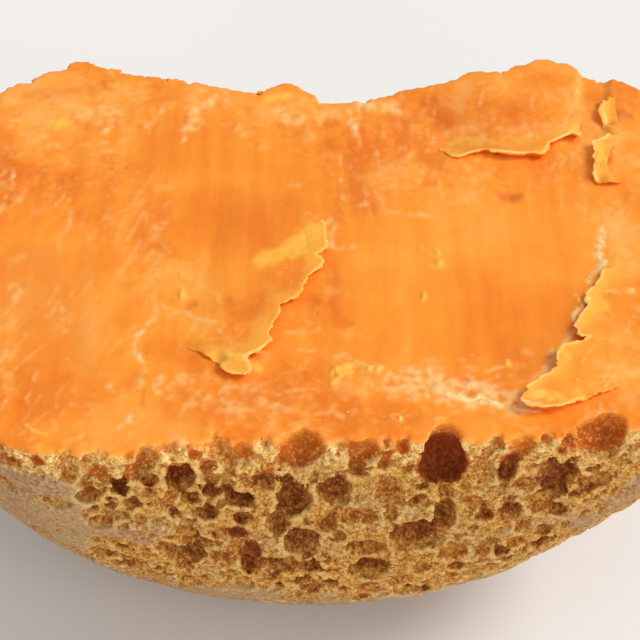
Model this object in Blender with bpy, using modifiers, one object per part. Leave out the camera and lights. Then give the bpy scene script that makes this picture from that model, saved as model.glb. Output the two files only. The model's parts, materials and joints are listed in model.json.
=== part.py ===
"""Half of an aged mimolette ball, lying on its rind with the cut face up.

The ball is a flattened turned shape whose axis runs along Y. A knife has taken off
a little more than half of it, parallel to that axis. The near side is at -Y.
The script works in millimetres and scales the finished solid to metres.
"""

import math
import random

import bmesh
import bpy
import numpy as np
from mathutils import Matrix, Vector

MM = 0.001

# The ball before it was cut
BALL_RADIUS = 95.0
CUT_BELOW_AXIS = 12.0
NEAR_HALF_HEIGHT = 63.4
FAR_HALF_HEIGHT = 66.9
RADIUS_POWER = 4.0
HEIGHT_POWER = 2.5
POLE_DIMPLE_DEPTH = 19.6
POLE_DIMPLE_REACH = 43.2
MIDDLE_SHIFT = 0.9

# How it lies: a small spot of the rind is pressed flat
FLAT_SPOT_DEPTH = 0.8
AXIS_HEIGHT = BALL_RADIUS - FLAT_SPOT_DEPTH
FACE_HEIGHT = AXIS_HEIGHT - CUT_BELOW_AXIS
REST_SPOT_REACH = 24.0

# Slow swellings of the rind: where across, how far out, how wide
NEAR_SINK = 1.8
NEAR_SWELLS = ((-56.0, 6.0, 30.0), (84.0, 4.5, 26.0))
NEAR_SWELL_DROP = 45.0
FAR_KNOBS = ((-57.0, 4.6, 8.0), (-7.0, 6.0, 5.5), (54.0, 2.6, 6.5), (36.0, 2.2, 2.2))
FAR_KNOB_DROP = 16.0
SIDE_FADE = 40.0

# Fineness of the turned ball
BALL_STEPS = 72
OUTLINE_STEPS = 48
TABLE_STEPS = 720
MERGE_REACH = 0.0001
SLIVER_REACH = 0.002
CRAG_ANGLE = math.radians(30)

# The pits that mites have eaten and that show best on the near side:
# across, below the cut face, width, height, depth
NEAR_PITS = (
    (24.8, 6.0, 10.6, 10.2, 9.5),
    (25.0, 0.8, 7.0, 7.0, 5.0),
    (56.8, 3.2, 9.6, 9.0, 5.5),
    (-3.6, 3.0, 9.4, 9.6, 3.2),
    (40.4, 2.6, 5.8, 6.6, 2.2),
    (32.2, 10.2, 5.6, 6.4, 1.8),
    (9.0, 2.6, 6.0, 6.2, 2.4),
    (3.6, 14.6, 6.2, 7.0, 3.6),
    (14.0, 14.6, 5.4, 8.0, 3.2),
    (-5.2, 17.2, 6.8, 8.4, 5.2),
    (8.8, 23.0, 8.4, 4.8, 2.8),
    (9.6, 33.8, 9.0, 5.0, 3.2),
    (20.8, 29.6, 10.2, 8.8, 5.2),
    (26.0, 24.0, 4.6, 8.6, 4.2),
    (11.2, 42.4, 9.6, 9.0, 5.2),
    (-3.2, 31.8, 6.8, 8.8, 4.8),
    (39.4, 23.0, 5.2, 5.2, 3.2),
    (50.0, 12.2, 5.2, 5.6, 4.2),
    (-27.6, 9.8, 5.2, 6.6, 5.0),
    (-22.4, 20.6, 5.4, 4.4, 3.2),
)

# Bites that notch the far edge of the cut face: across, below it, width, height, depth
FAR_BITES = (
    (-76.0, 2.0, 9.0, 8.0, 4.5),
    (-41.5, 2.5, 12.0, 8.0, 3.6),
    (-20.0, 2.5, 9.0, 8.0, 3.0),
    (5.0, 2.0, 11.0, 9.0, 4.6),
    (29.5, 3.0, 6.0, 6.0, 1.8),
    (43.0, 2.0, 6.5, 7.0, 4.0),
    (66.5, 2.5, 7.0, 7.0, 2.6),
)

# The rest of the rind is pitted at random: small pits crowded on the near side, then
# larger ones all over. Turn is in radians round the axis, area is the share of the
# rind from the far pole.
SCATTER_SEED = 31
SMALL_SCATTER = dict(count=66, width=(3.8, 6.8), gap=0.2, turn=(-0.9, 1.5), area=(0.79, 0.995))
LARGE_SCATTER = dict(count=84, width=(5.4, 10.5), gap=0.8, turn=(-1.57, 1.57), area=(0.002, 0.998))
SCATTER_TRIES = 4000
SCATTER_DEPTH_SHARE = (0.28, 0.52)
SCATTER_HEIGHT_SHARE = (0.75, 1.2)
PIT_SHAPE_SEED = 7
BIG_PIT_WIDTH = 7.5
PIT_ROUGHNESS = 0.09

# Layers that tore up when the knife was pulled through: each has a jagged lip and
# sinks back into the face behind it, or runs out over the rind
LAYER_THICKNESS = 5.0
TORN_LAYER = dict(
    outline=((1.6, 7.8), (-0.6, 1.2), (0.9, -6.9), (-3.7, -16.3), (-8.9, -22.5), (-13.9, -32.9),
             (-15.8, -40.1), (-19.0, -36.6), (-27.0, -34.6), (-46.0, -22.6), (-44.0, 5.4), (-16.0, 19.4)),
    pivot=(-5.0, -16.6), towards=(-0.86, 0.51), rise=1.0, lean=2.1)
TONGUE_LAYER = dict(
    outline=((61.2, 2.8), (59.6, -6.9), (55.2, -19.4), (58.5, -28.5), (53.0, -31.4), (48.4, -37.2),
             (44.8, -41.5), (41.4, -44.3), (41.7, -48.5), (45.9, -50.2), (50.5, -48.9), (61.0, -44.6),
             (100.0, -32.6), (100.0, -10.6), (74.0, 5.4)),
    pivot=(52.0, -32.6), towards=(0.9, 0.43), rise=1.2, lean=2.6)
SLAB_LAYER = dict(
    outline=((28.0, 35.4), (29.6, 31.8), (32.5, 30.6), (37.0, 31.1), (41.5, 29.4), (46.1, 29.6),
             (51.8, 30.8), (55.6, 34.7), (60.1, 38.4), (63.0, 47.4), (66.0, 90.0), (40.0, 90.0),
             (33.0, 49.4)),
    pivot=(45.0, 30.4), towards=(0.0, 1.0), rise=1.7, lean=0.6)
CORNER_LAYER = dict(
    outline=((66.0, 48.9), (67.2, 41.4), (64.6, 38.4), (65.6, 33.4), (63.6, 29.4), (64.6, 23.4),
             (71.0, 22.4), (100.0, 31.4), (100.0, 90.0), (72.0, 90.0)),
    pivot=(66.0, 37.4), towards=(1.0, 0.1), rise=1.2, lean=2.8)

# Small dent in the face: across, deep in, width, height, depth
FACE_DENT = (42.0, 13.9, 4.4, 2.6, 1.0)

PASTE_ORANGE = (0.86, 0.31, 0.04, 1.0)


def clear_scene():
    for obj in list(bpy.data.objects):
        bpy.data.objects.remove(obj, do_unlink=True)


def new_collection(name):
    collection = bpy.data.collections.new(name)
    bpy.context.scene.collection.children.link(collection)
    return collection


def add_mesh(name, bm, collection):
    """Put a bmesh into the scene as a named object."""
    mesh = bpy.data.meshes.new(name)
    bmesh.ops.recalc_face_normals(bm, faces=bm.faces)
    bm.to_mesh(mesh)
    bm.free()
    obj = bpy.data.objects.new(name, mesh)
    collection.objects.link(obj)
    return obj


def bump(at, middle, height, width):
    return height * math.exp(-((at - middle) / width) ** 2)


def half_height(radius, side):
    """How far from the ball's middle its skin lies along the axis: side is -1 near, +1 far."""
    share = max(0.0, 1.0 - (radius / BALL_RADIUS) ** RADIUS_POWER) ** (1.0 / HEIGHT_POWER)
    if side < 0:
        return NEAR_HALF_HEIGHT * share
    dimple = POLE_DIMPLE_DEPTH * math.exp(-((radius / POLE_DIMPLE_REACH) ** 2))
    return max(0.0, FAR_HALF_HEIGHT * share - dimple)


def swollen(x, y, z):
    """Add the slow swellings to a point of the even ball."""
    below_face = min(0.0, z - FACE_HEIGHT)
    if y < 0:
        swell = sum(bump(x, *place) for place in NEAR_SWELLS) - NEAR_SINK
        share = min(1.0, -y / SIDE_FADE) * math.exp(below_face / NEAR_SWELL_DROP)
        return Vector((x, y - swell * share + MIDDLE_SHIFT, z))
    knob = sum(bump(x, *place) for place in FAR_KNOBS)
    share = min(1.0, y / SIDE_FADE) * math.exp(below_face / FAR_KNOB_DROP)
    return Vector((x, y + knob * share + MIDDLE_SHIFT, z))


def rind_point(turn, along):
    """A point of the rind: turn goes round the axis from straight down, along from the
    far pole (0) over the rim to the near pole (pi)."""
    radius = BALL_RADIUS * math.sin(along) ** (2.0 / RADIUS_POWER)
    side = 1.0 if along < math.pi / 2 else -1.0
    y = side * half_height(radius, side)
    return swollen(radius * math.sin(turn), y, AXIS_HEIGHT - radius * math.cos(turn))


def outline_table():
    """Angles along the outline, with the distance and the rind area from the far pole."""
    alongs = np.linspace(0.0, math.pi, TABLE_STEPS + 1)
    radii = BALL_RADIUS * np.clip(np.sin(alongs), 0.0, 1.0) ** (2.0 / RADIUS_POWER)
    sides = np.where(alongs < math.pi / 2, 1.0, -1.0)
    heights = np.array([side * half_height(radius, side) for radius, side in zip(radii, sides)])
    lengths = np.hypot(np.diff(radii), np.diff(heights))
    areas = lengths * (radii[1:] + radii[:-1])
    distance = np.concatenate(([0.0], np.cumsum(lengths)))
    area = np.concatenate(([0.0], np.cumsum(areas)))
    return alongs, distance / distance[-1], area / area[-1]


def rind_frame(turn, along):
    """The point with its directions across, up along the rind, and outwards."""
    step = 0.001
    point = rind_point(turn, along)
    round_axis = rind_point(turn + step, along) - rind_point(turn - step, along)
    over_rim = rind_point(turn, along + step) - rind_point(turn, along - step)
    outward = round_axis.cross(over_rim).normalized()
    if outward.dot(point - Vector((0.0, 0.0, AXIS_HEIGHT))) < 0:
        outward.negate()
    across = Vector((1.0, 0.0, 0.0))
    if abs(outward.x) > 0.9:
        across = Vector((0.0, 1.0, 0.0))
    up = outward.cross(across).normalized()
    across = up.cross(outward).normalized()
    return point, across, up, outward


def place_on_side(x, below, side):
    """Turn and along of the point that lies x across and so far below the face."""
    drop = below + CUT_BELOW_AXIS
    radius = min(math.hypot(x, drop), BALL_RADIUS)
    along = math.asin((radius / BALL_RADIUS) ** (RADIUS_POWER / 2.0))
    if side < 0:
        along = math.pi - along
    return math.atan2(x, drop), along


def turned_ball(collection):
    """The whole ball: an outline turned about Z, then laid over with its axis along Y."""
    alongs, distance, _ = outline_table()
    bm = bmesh.new()
    previous = None
    for i in range(OUTLINE_STEPS + 1):
        along = float(np.interp(i / OUTLINE_STEPS, distance, alongs))
        radius = BALL_RADIUS * max(0.0, math.sin(along)) ** (2.0 / RADIUS_POWER)
        if i in (0, OUTLINE_STEPS):
            radius = 0.0
        side = 1.0 if along < math.pi / 2 else -1.0
        vertex = bm.verts.new((radius, 0.0, side * half_height(radius, side)))
        if previous:
            bm.edges.new((previous, vertex))
        previous = vertex
    mesh = bpy.data.meshes.new("ball")
    bm.to_mesh(mesh)
    bm.free()
    ball = bpy.data.objects.new("ball", mesh)
    collection.objects.link(ball)
    screw = ball.modifiers.new("turn", "SCREW")
    screw.axis = "Z"
    screw.angle = 2.0 * math.pi
    screw.steps = BALL_STEPS
    screw.render_steps = BALL_STEPS
    screw.use_merge_vertices = True
    screw.merge_threshold = MERGE_REACH
    apply_modifiers(ball)

    bm = bmesh.new()
    bm.from_mesh(ball.data)
    bmesh.ops.remove_doubles(bm, verts=bm.verts, dist=MERGE_REACH)
    bmesh.ops.rotate(bm, verts=bm.verts, cent=(0, 0, 0), matrix=Matrix.Rotation(-math.pi / 2, 3, "X"))
    for vertex in bm.verts:
        vertex.co = swollen(vertex.co.x, vertex.co.y, vertex.co.z + AXIS_HEIGHT)
    bm.to_mesh(ball.data)
    bm.free()
    return ball


def apply_modifiers(obj):
    """Swap the object's mesh for the one that its modifiers give."""
    depsgraph = bpy.context.evaluated_depsgraph_get()
    finished = bpy.data.meshes.new_from_object(obj.evaluated_get(depsgraph))
    plain = obj.data
    obj.modifiers.clear()
    obj.data = finished
    bpy.data.meshes.remove(plain)


def cut_away(body, tools):
    """Cut a collection of tools out of the body, then remove them."""
    boolean = body.modifiers.new(tools.name, "BOOLEAN")
    boolean.operation = "DIFFERENCE"
    boolean.operand_type = "COLLECTION"
    boolean.collection = tools
    boolean.solver = "EXACT"
    apply_modifiers(body)
    for tool in list(tools.objects):
        bpy.data.objects.remove(tool, do_unlink=True)
    bpy.data.collections.remove(tools)


def mark_as_tool(obj):
    obj.hide_render = True
    obj.display_type = "WIRE"


def knife_block(name, bottom, top, collection):
    """A block wider than the ball, from one height to another, that cuts it flat."""
    bm = bmesh.new()
    bmesh.ops.create_cube(bm, size=1.0)
    width = 3.0 * BALL_RADIUS
    bmesh.ops.scale(bm, verts=bm.verts, vec=(width, width, top - bottom))
    bmesh.ops.translate(bm, verts=bm.verts, vec=(0.0, 0.0, (top + bottom) / 2.0))
    block = add_mesh(name, bm, collection)
    mark_as_tool(block)
    return block


def torn_layer(name, outline, pivot, towards, rise, lean, collection):
    """A thick flat outline, raised at its lip and leaning down into the face behind it."""
    curve = bpy.data.curves.new(name, "CURVE")
    curve.dimensions = "2D"
    curve.fill_mode = "BOTH"
    curve.extrude = LAYER_THICKNESS / 2.0
    spline = curve.splines.new("POLY")
    spline.points.add(len(outline) - 1)
    for corner, (x, y) in zip(spline.points, outline):
        corner.co = (x - pivot[0], y - pivot[1], 0.0, 1.0)
    spline.use_cyclic_u = True
    guide = bpy.data.objects.new(name + "_outline", curve)
    collection.objects.link(guide)
    bpy.context.view_layer.update()
    depsgraph = bpy.context.evaluated_depsgraph_get()
    mesh = bpy.data.meshes.new_from_object(guide.evaluated_get(depsgraph))
    bpy.data.objects.remove(guide, do_unlink=True)

    bm = bmesh.new()
    bm.from_mesh(mesh)
    bpy.data.meshes.remove(mesh)
    bmesh.ops.remove_doubles(bm, verts=bm.verts, dist=MERGE_REACH)
    hinge = Vector((-towards[1], towards[0], 0.0))
    tilt = Matrix.Rotation(math.radians(lean), 4, hinge)
    top = Vector((pivot[0], pivot[1], FACE_HEIGHT + rise))
    place = Matrix.Translation(top) @ tilt @ Matrix.Translation((0.0, 0.0, -LAYER_THICKNESS / 2.0))
    bmesh.ops.transform(bm, verts=bm.verts, matrix=place)
    mark_as_tool(add_mesh(name, bm, collection))


def scattered_pits(taken, rng, count, width, gap, turn, area):
    """Pits at random that keep clear of the face, of each other and of the rest spot."""
    alongs, _, areas = outline_table()
    found = []
    for _ in range(SCATTER_TRIES):
        frame = rind_frame(rng.uniform(*turn), float(np.interp(rng.uniform(*area), areas, alongs)))
        across = rng.uniform(*width)
        height = across * rng.uniform(*SCATTER_HEIGHT_SHARE)
        depth = across * rng.uniform(*SCATTER_DEPTH_SHARE)
        point = frame[0]
        if point.z > FACE_HEIGHT - height or point.length < REST_SPOT_REACH:
            continue
        if any((point - other[0]).length < (across + max(size)) / 2.0 + gap
               for other, *size, _ in taken + found):
            continue
        found.append((frame, across, height, depth))
        if len(found) == count:
            break
    return found


def placed_pits():
    """Every pit of the rind, as its place and its width, height and depth."""
    rng = random.Random(SCATTER_SEED)
    pits = []
    for side, rows in ((-1.0, NEAR_PITS), (1.0, FAR_BITES)):
        for x, below, width, height, depth in rows:
            pits.append((rind_frame(*place_on_side(x, below, side)), width, height, depth))
    pits += scattered_pits(pits, rng, **SMALL_SCATTER)
    pits += scattered_pits(pits, rng, **LARGE_SCATTER)
    return pits


def face_dent():
    x, y, width, height, depth = FACE_DENT
    frame = (Vector((x, y, FACE_HEIGHT)), Vector((1, 0, 0)), Vector((0, 1, 0)), Vector((0, 0, 1)))
    return frame, width, height, depth


def pit_cutter(name, frame, width, height, depth, rng, collection):
    """An uneven ball that leaves an opening of this width and height, and is this deep."""
    point, across, up, outward = frame
    opening = (width + height) / 4.0
    radius = (opening ** 2 + depth ** 2) / (2.0 * depth)
    centre = point - outward * (depth - radius)
    bm = bmesh.new()
    bmesh.ops.create_icosphere(bm, subdivisions=2 if width >= BIG_PIT_WIDTH else 1, radius=1.0)
    spin = Matrix.Rotation(rng.uniform(0.0, math.tau), 3, "Z")
    for vertex in bm.verts:
        corner = spin @ vertex.co * radius * (1.0 + rng.uniform(-PIT_ROUGHNESS, PIT_ROUGHNESS))
        vertex.co = (centre + across * corner.x * width / (2.0 * opening)
                     + up * corner.y * height / (2.0 * opening) + outward * corner.z)
    mark_as_tool(add_mesh(name, bm, collection))


def keep_largest_body(obj):
    """Drop any scrap that the pits have cut loose."""
    bm = bmesh.new()
    bm.from_mesh(obj.data)
    left = set(bm.verts)
    bodies = []
    while left:
        body = set()
        front = {left.pop()}
        while front:
            body |= front
            front = {edge.other_vert(vertex) for vertex in front for edge in vertex.link_edges} - body
        left -= body
        bodies.append(body)
    largest = max(bodies, key=len)
    bmesh.ops.delete(bm, geom=[v for v in bm.verts if v not in largest], context="VERTS")
    bm.to_mesh(obj.data)
    bm.free()


def finish(obj):
    """Bring the solid to metres, all triangles, smooth with sharp crags."""
    bm = bmesh.new()
    bm.from_mesh(obj.data)
    bmesh.ops.remove_doubles(bm, verts=bm.verts, dist=SLIVER_REACH)
    bmesh.ops.triangulate(bm, faces=bm.faces)
    bmesh.ops.scale(bm, verts=bm.verts, vec=(MM, MM, MM))
    bm.to_mesh(obj.data)
    bm.free()
    obj.data.shade_smooth()
    obj.data.set_sharp_from_angle(angle=CRAG_ANGLE)


def paste_material():
    material = bpy.data.materials.new("aged_paste")
    material.use_nodes = True
    shader = material.node_tree.nodes["Principled BSDF"]
    shader.inputs["Base Color"].default_value = PASTE_ORANGE
    shader.inputs["Roughness"].default_value = 0.5
    shader.inputs["Metallic"].default_value = 0.0
    return material


def build():
    clear_scene()
    model = new_collection("mimolette")

    cheese = turned_ball(model)
    cheese.name = "cheese"
    layers = new_collection("torn_layers")
    torn_layer("torn_layer", collection=layers, **TORN_LAYER)
    torn_layer("tongue_layer", collection=layers, **TONGUE_LAYER)
    torn_layer("slab_layer", collection=layers, **SLAB_LAYER)
    torn_layer("corner_layer", collection=layers, **CORNER_LAYER)

    knives = new_collection("knives")
    face_knife = knife_block("cut_face", FACE_HEIGHT, FACE_HEIGHT + BALL_RADIUS * 2, knives)
    knife_block("flat_spot", -BALL_RADIUS, 0.0, knives)
    cut_away(face_knife, layers)
    cut_away(cheese, knives)

    pits = new_collection("pits")
    rng = random.Random(PIT_SHAPE_SEED)
    for i, pit in enumerate(placed_pits() + [face_dent()]):
        pit_cutter(f"pit_{i:03d}", *pit, rng, pits)
    cut_away(cheese, pits)

    keep_largest_body(cheese)
    finish(cheese)
    cheese.data.materials.clear()
    cheese.data.materials.append(paste_material())


build()
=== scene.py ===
"""The looks of an aged mimolette half: torn orange paste on top, a mite-eaten rind below.

The body is carved as a field of distances on a fine grid, turned into one closed mesh
and thinned. Torn flakes, rind granules and crumbs are pieces of their own that lie on it.
Lengths are in millimetres until a mesh is made, and in metres in the studio.
"""
import json
import math
import random

import bpy
import numpy as np
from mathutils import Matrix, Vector

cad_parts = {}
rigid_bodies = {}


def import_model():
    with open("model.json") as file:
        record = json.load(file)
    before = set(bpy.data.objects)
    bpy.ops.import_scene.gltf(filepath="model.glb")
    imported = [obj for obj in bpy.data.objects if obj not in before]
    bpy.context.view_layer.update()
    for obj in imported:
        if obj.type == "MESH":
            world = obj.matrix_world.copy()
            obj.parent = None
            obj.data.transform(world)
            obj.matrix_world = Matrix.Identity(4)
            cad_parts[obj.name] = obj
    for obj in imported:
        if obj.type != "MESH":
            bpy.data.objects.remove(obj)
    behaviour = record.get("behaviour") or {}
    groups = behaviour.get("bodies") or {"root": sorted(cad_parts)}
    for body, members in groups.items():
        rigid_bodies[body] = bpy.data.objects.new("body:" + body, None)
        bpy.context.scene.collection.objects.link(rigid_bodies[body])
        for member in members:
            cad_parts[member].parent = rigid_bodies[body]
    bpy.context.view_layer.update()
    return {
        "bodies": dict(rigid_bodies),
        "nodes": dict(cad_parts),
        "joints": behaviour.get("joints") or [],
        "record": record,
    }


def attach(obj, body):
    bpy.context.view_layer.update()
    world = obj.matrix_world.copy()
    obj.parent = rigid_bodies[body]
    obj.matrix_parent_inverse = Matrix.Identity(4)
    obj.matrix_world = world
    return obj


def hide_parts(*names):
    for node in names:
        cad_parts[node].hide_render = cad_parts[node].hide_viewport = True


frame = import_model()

MM = 0.001

# The ball before it was cut, and how the piece lies
BALL_RADIUS = 95.0
CUT_BELOW_AXIS = 12.0
NEAR_HALF_HEIGHT = 63.4
FAR_HALF_HEIGHT = 66.9
RADIUS_POWER = 4.0
HEIGHT_POWER = 2.5
POLE_DIMPLE_DEPTH = 19.6
POLE_DIMPLE_REACH = 43.2
MIDDLE_SHIFT = 0.9
FLAT_SPOT_DEPTH = 0.8
AXIS_HEIGHT = BALL_RADIUS - FLAT_SPOT_DEPTH
FACE_HEIGHT = AXIS_HEIGHT - CUT_BELOW_AXIS
REST_SPOT_REACH = 24.0

# Slow swellings of the rind: where across, how far out, how wide
NEAR_SINK = 1.8
NEAR_SWELLS = ((-56.0, 6.0, 30.0), (84.0, 4.5, 26.0))
NEAR_SWELL_DROP = 45.0
FAR_KNOBS = ((-57.0, 4.6, 8.0), (-7.0, 6.0, 5.5), (54.0, 2.6, 6.5), (36.0, 2.2, 2.2))
FAR_KNOB_DROP = 16.0
SIDE_FADE = 40.0
TABLE_STEPS = 720

# The pits that show best: across, below the cut face, width, height, depth, and how dark inside the
# near ones are
NEAR_PITS = (
    (24.8, 6.0, 10.6, 10.2, 9.5, 1.0),
    (25.0, 0.8, 7.0, 7.0, 5.0, 0.5),
    (56.8, 3.2, 9.6, 9.0, 5.5, 0.6),
    (-3.6, 3.0, 9.4, 9.6, 3.2, 0.42),
    (40.4, 2.6, 5.8, 6.6, 2.2, 0.4),
    (32.2, 10.2, 5.6, 6.4, 1.8, 0.2),
    (9.0, 2.6, 6.0, 6.2, 2.4, 0.45),
    (3.6, 14.6, 6.2, 7.0, 3.6, 0.85),
    (14.0, 14.6, 5.4, 8.0, 3.2, 0.6),
    (-5.2, 17.2, 6.8, 8.4, 5.2, 0.8),
    (8.8, 23.0, 8.4, 4.8, 2.8, 0.65),
    (9.6, 33.8, 9.0, 5.0, 3.2, 0.75),
    (20.8, 29.6, 10.2, 8.8, 5.2, 0.85),
    (26.0, 24.0, 4.6, 8.6, 4.2, 0.8),
    (11.2, 42.4, 9.6, 9.0, 5.2, 0.85),
    (-3.2, 31.8, 6.8, 8.8, 4.8, 0.85),
    (39.4, 23.0, 5.2, 5.2, 3.2, 0.85),
    (50.0, 12.2, 5.2, 5.6, 4.2, 0.9),
    (-27.6, 9.8, 5.2, 6.6, 5.0, 0.95),
    (-22.4, 20.6, 5.4, 4.4, 3.2, 0.8),
)
FAR_BITES = (
    (-76.0, 2.0, 9.0, 8.0, 4.5),
    (-41.5, 2.5, 12.0, 8.0, 3.6),
    (-20.0, 2.5, 9.0, 8.0, 3.0),
    (5.0, 2.0, 11.0, 9.0, 4.6),
    (29.5, 3.0, 6.0, 6.0, 1.8),
    (43.0, 2.0, 6.5, 7.0, 4.0),
    (66.5, 2.5, 7.0, 7.0, 2.6),
)
SCATTER_SEED = 31
SMALL_SCATTER = dict(count=66, width=(3.8, 6.8), gap=0.2, turn=(-0.9, 1.5), area=(0.79, 0.995))
LARGE_SCATTER = dict(count=84, width=(5.4, 10.5), gap=0.8, turn=(-1.57, 1.57), area=(0.002, 0.998))
SCATTER_TRIES = 4000
SCATTER_DEPTH_SHARE = (0.28, 0.52)
SCATTER_HEIGHT_SHARE = (0.75, 1.2)

# Layers that tore up when the knife was pulled through: the outline, a place on the lip where the
# top is this high, which way and by how many degrees it sinks from there into the face, and between
# which x it grows out of the face, where it doesn't rise at once
TORN_LAYERS = dict(
    torn=dict(
        outline=((1.6, 7.8), (-0.6, 1.2), (0.9, -6.9), (-3.7, -16.3), (-8.9, -22.5), (-13.9, -32.9),
                 (-15.8, -40.1), (-19.0, -36.6), (-27.0, -34.6), (-46.0, -22.6), (-44.0, 5.4), (-16.0, 19.4)),
        pivot=(-5.0, -16.6), towards=(-0.86, 0.51), rise=1.0, lean=2.1, fades_in=(-31.0, -18.0)),
    tongue=dict(
        outline=((61.2, 2.8), (59.6, -6.9), (55.2, -19.4), (58.5, -28.5), (53.0, -31.4), (48.4, -37.2),
                 (44.8, -41.5), (41.4, -44.3), (41.7, -48.5), (45.9, -50.2), (50.5, -48.9), (61.0, -44.6),
                 (100.0, -32.6), (100.0, -10.6), (74.0, 5.4)),
        pivot=(52.0, -32.6), towards=(0.9, 0.43), rise=1.2, lean=2.6),
    slab=dict(
        outline=((28.0, 35.4), (29.6, 31.8), (32.5, 30.6), (37.0, 31.1), (41.5, 29.4), (46.1, 29.6),
                 (51.8, 30.8), (55.6, 34.7), (60.1, 38.4), (63.0, 47.4), (66.0, 90.0), (26.0, 90.0),
                 (26.0, 49.4)),
        pivot=(45.0, 30.4), towards=(0.0, 1.0), rise=1.7, lean=0.6, fades_in=(27.0, 44.0)),
    corner=dict(
        outline=((66.0, 48.9), (67.2, 41.4), (64.6, 38.4), (65.6, 33.4), (63.6, 29.4), (64.6, 23.4),
                 (71.0, 22.4), (100.0, 31.4), (100.0, 90.0), (72.0, 90.0)),
        pivot=(66.0, 37.4), towards=(1.0, 0.1), rise=1.2, lean=2.8),
)
NO_FADE = (-101.0, -100.0)
# Small dent in the face: where across and along, how far it reaches across and along, how deep
FACE_DENT = (42.0, 13.9, 4.4, 2.6, 1.0)

# The crisp lips of the torn layers: their line with the layer on its left, the ground behind it,
# how far back the flake reaches, how far its lip curls up, how far back and how strongly its paste
# looks thin, and how far from its first end it reaches its full height
LIPS = dict(
    torn=dict(
        line=(
            (-20.4, -37.2), (-19.5, -38.5), (-18.8, -41.0), (-17.0, -41.9),
            (-14.9, -42.7), (-13.6, -41.6), (-14.2, -38.8), (-15.1, -37.3), (-13.7, -36.2),
            (-12.1, -35.3), (-10.7, -34.1), (-9.7, -32.4), (-10.1, -30.9), (-9.3, -27.7), (-8.3, -25.9),
            (-7.6, -22.3), (-6.3, -21.0), (-4.5, -19.2), (-3.2, -17.4), (-2.0, -13.3), (0.8, -9.6),
            (1.2, -8.0), (-0.7, -6.1), (1.9, -3.5), (1.7, 3.7), (-0.5, 6.7),
        ),
        back=((-16.0, 19.4), (-44.0, 5.4), (-46.0, -22.6)),
        width=7.5, curl=0.15, thin=(6.0, 0.7)),
    tongue=dict(
        line=(
            (61.4, -8.0), (60.2, -13.3), (56.5, -18.6), (56.6, -22.0), (54.0, -26.9), (52.8, -28.2),
            (54.2, -31.5), (56.1, -31.5), (52.8, -33.8), (50.3, -34.4), (48.8, -37.3), (47.9, -40.5),
            (46.7, -42.7), (45.0, -43.9), (42.7, -46.1), (41.1, -47.8), (40.3, -50.5), (41.4, -51.9),
            (44.6, -52.4), (47.0, -52.2), (49.2, -51.4), (51.3, -50.0), (53.1, -48.3),
        ),
        back=((61.0, -44.6), (100.0, -32.6), (100.0, 10.6), (74.0, 5.4)),
        width=9.5, curl=0.5, thin=(5.0, 0.8)),
    slab=dict(
        line=(
            (28.4, 37.5), (29.2, 33.8), (27.5, 31.8), (27.9, 30.2), (29.6, 28.4), (32.1, 27.7),
            (34.2, 28.4), (36.0, 28.8), (38.5, 28.6), (42.3, 27.7), (46.1, 27.0), (48.6, 27.2),
            (51.1, 27.4), (51.9, 29.2), (52.7, 30.9), (54.9, 32.4), (56.8, 33.8), (58.4, 35.3),
            (59.0, 34.6), (59.8, 33.5), (60.5, 36.4),
        ),
        back=((66.0, 90.0), (40.0, 90.0), (31.0, 49.4)),
        width=7.0, curl=0.15, thin=(5.5, 0.6), fade=9.0),
    corner=dict(
        line=((67.0, 48.0), (65.9, 43.8), (66.3, 40.9), (66.8, 38.6)),
        back=((72.0, 38.0), (76.0, 50.0)), width=3.0, curl=0.3, thin=(3.5, 0.9), fade=1.2),
    corner_foot=dict(
        line=(
            (67.6, 35.7), (65.5, 32.8), (62.1, 31.3), (62.9, 29.9), (62.5, 27.7), (61.9, 24.2),
            (61.8, 20.7), (62.7, 18.9),
        ),
        back=((71.0, 18.4), (100.0, 31.4)), width=4.5, curl=0.35, thin=(4.5, 0.9), fade=1.8),
)
# How a flake is made: the step of its grid, how far its lip is undercut, how it ends, how it sinks in
# behind, and how deep in the paste it counts, so that the rim's tone leaves it out
FLAKE_STEP = 0.28
FLAKE_UNDERCUT = 0.8
FLAKE_END = 2.6
FLAKE_END_DROP = 1.3
FLAKE_ABOVE_LAYER = 0.05
FLAKE_SINK_BEHIND = 0.3
FLAKE_BOTTOM = 0.9
FLAKE_DEPTH_MM = 20.0
FLAKE_SEED = 80
LIP_FORWARD = 0.4
LIP_ROUNDING = 0.12
LIP_CURL_REACH = 3.0
# Sizes of the ragged notches in a lip, and how deep each kind is
LIP_NOTCHES = ((0.5, 0.15), (1.2, 0.2), (3.2, 0.22))

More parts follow.
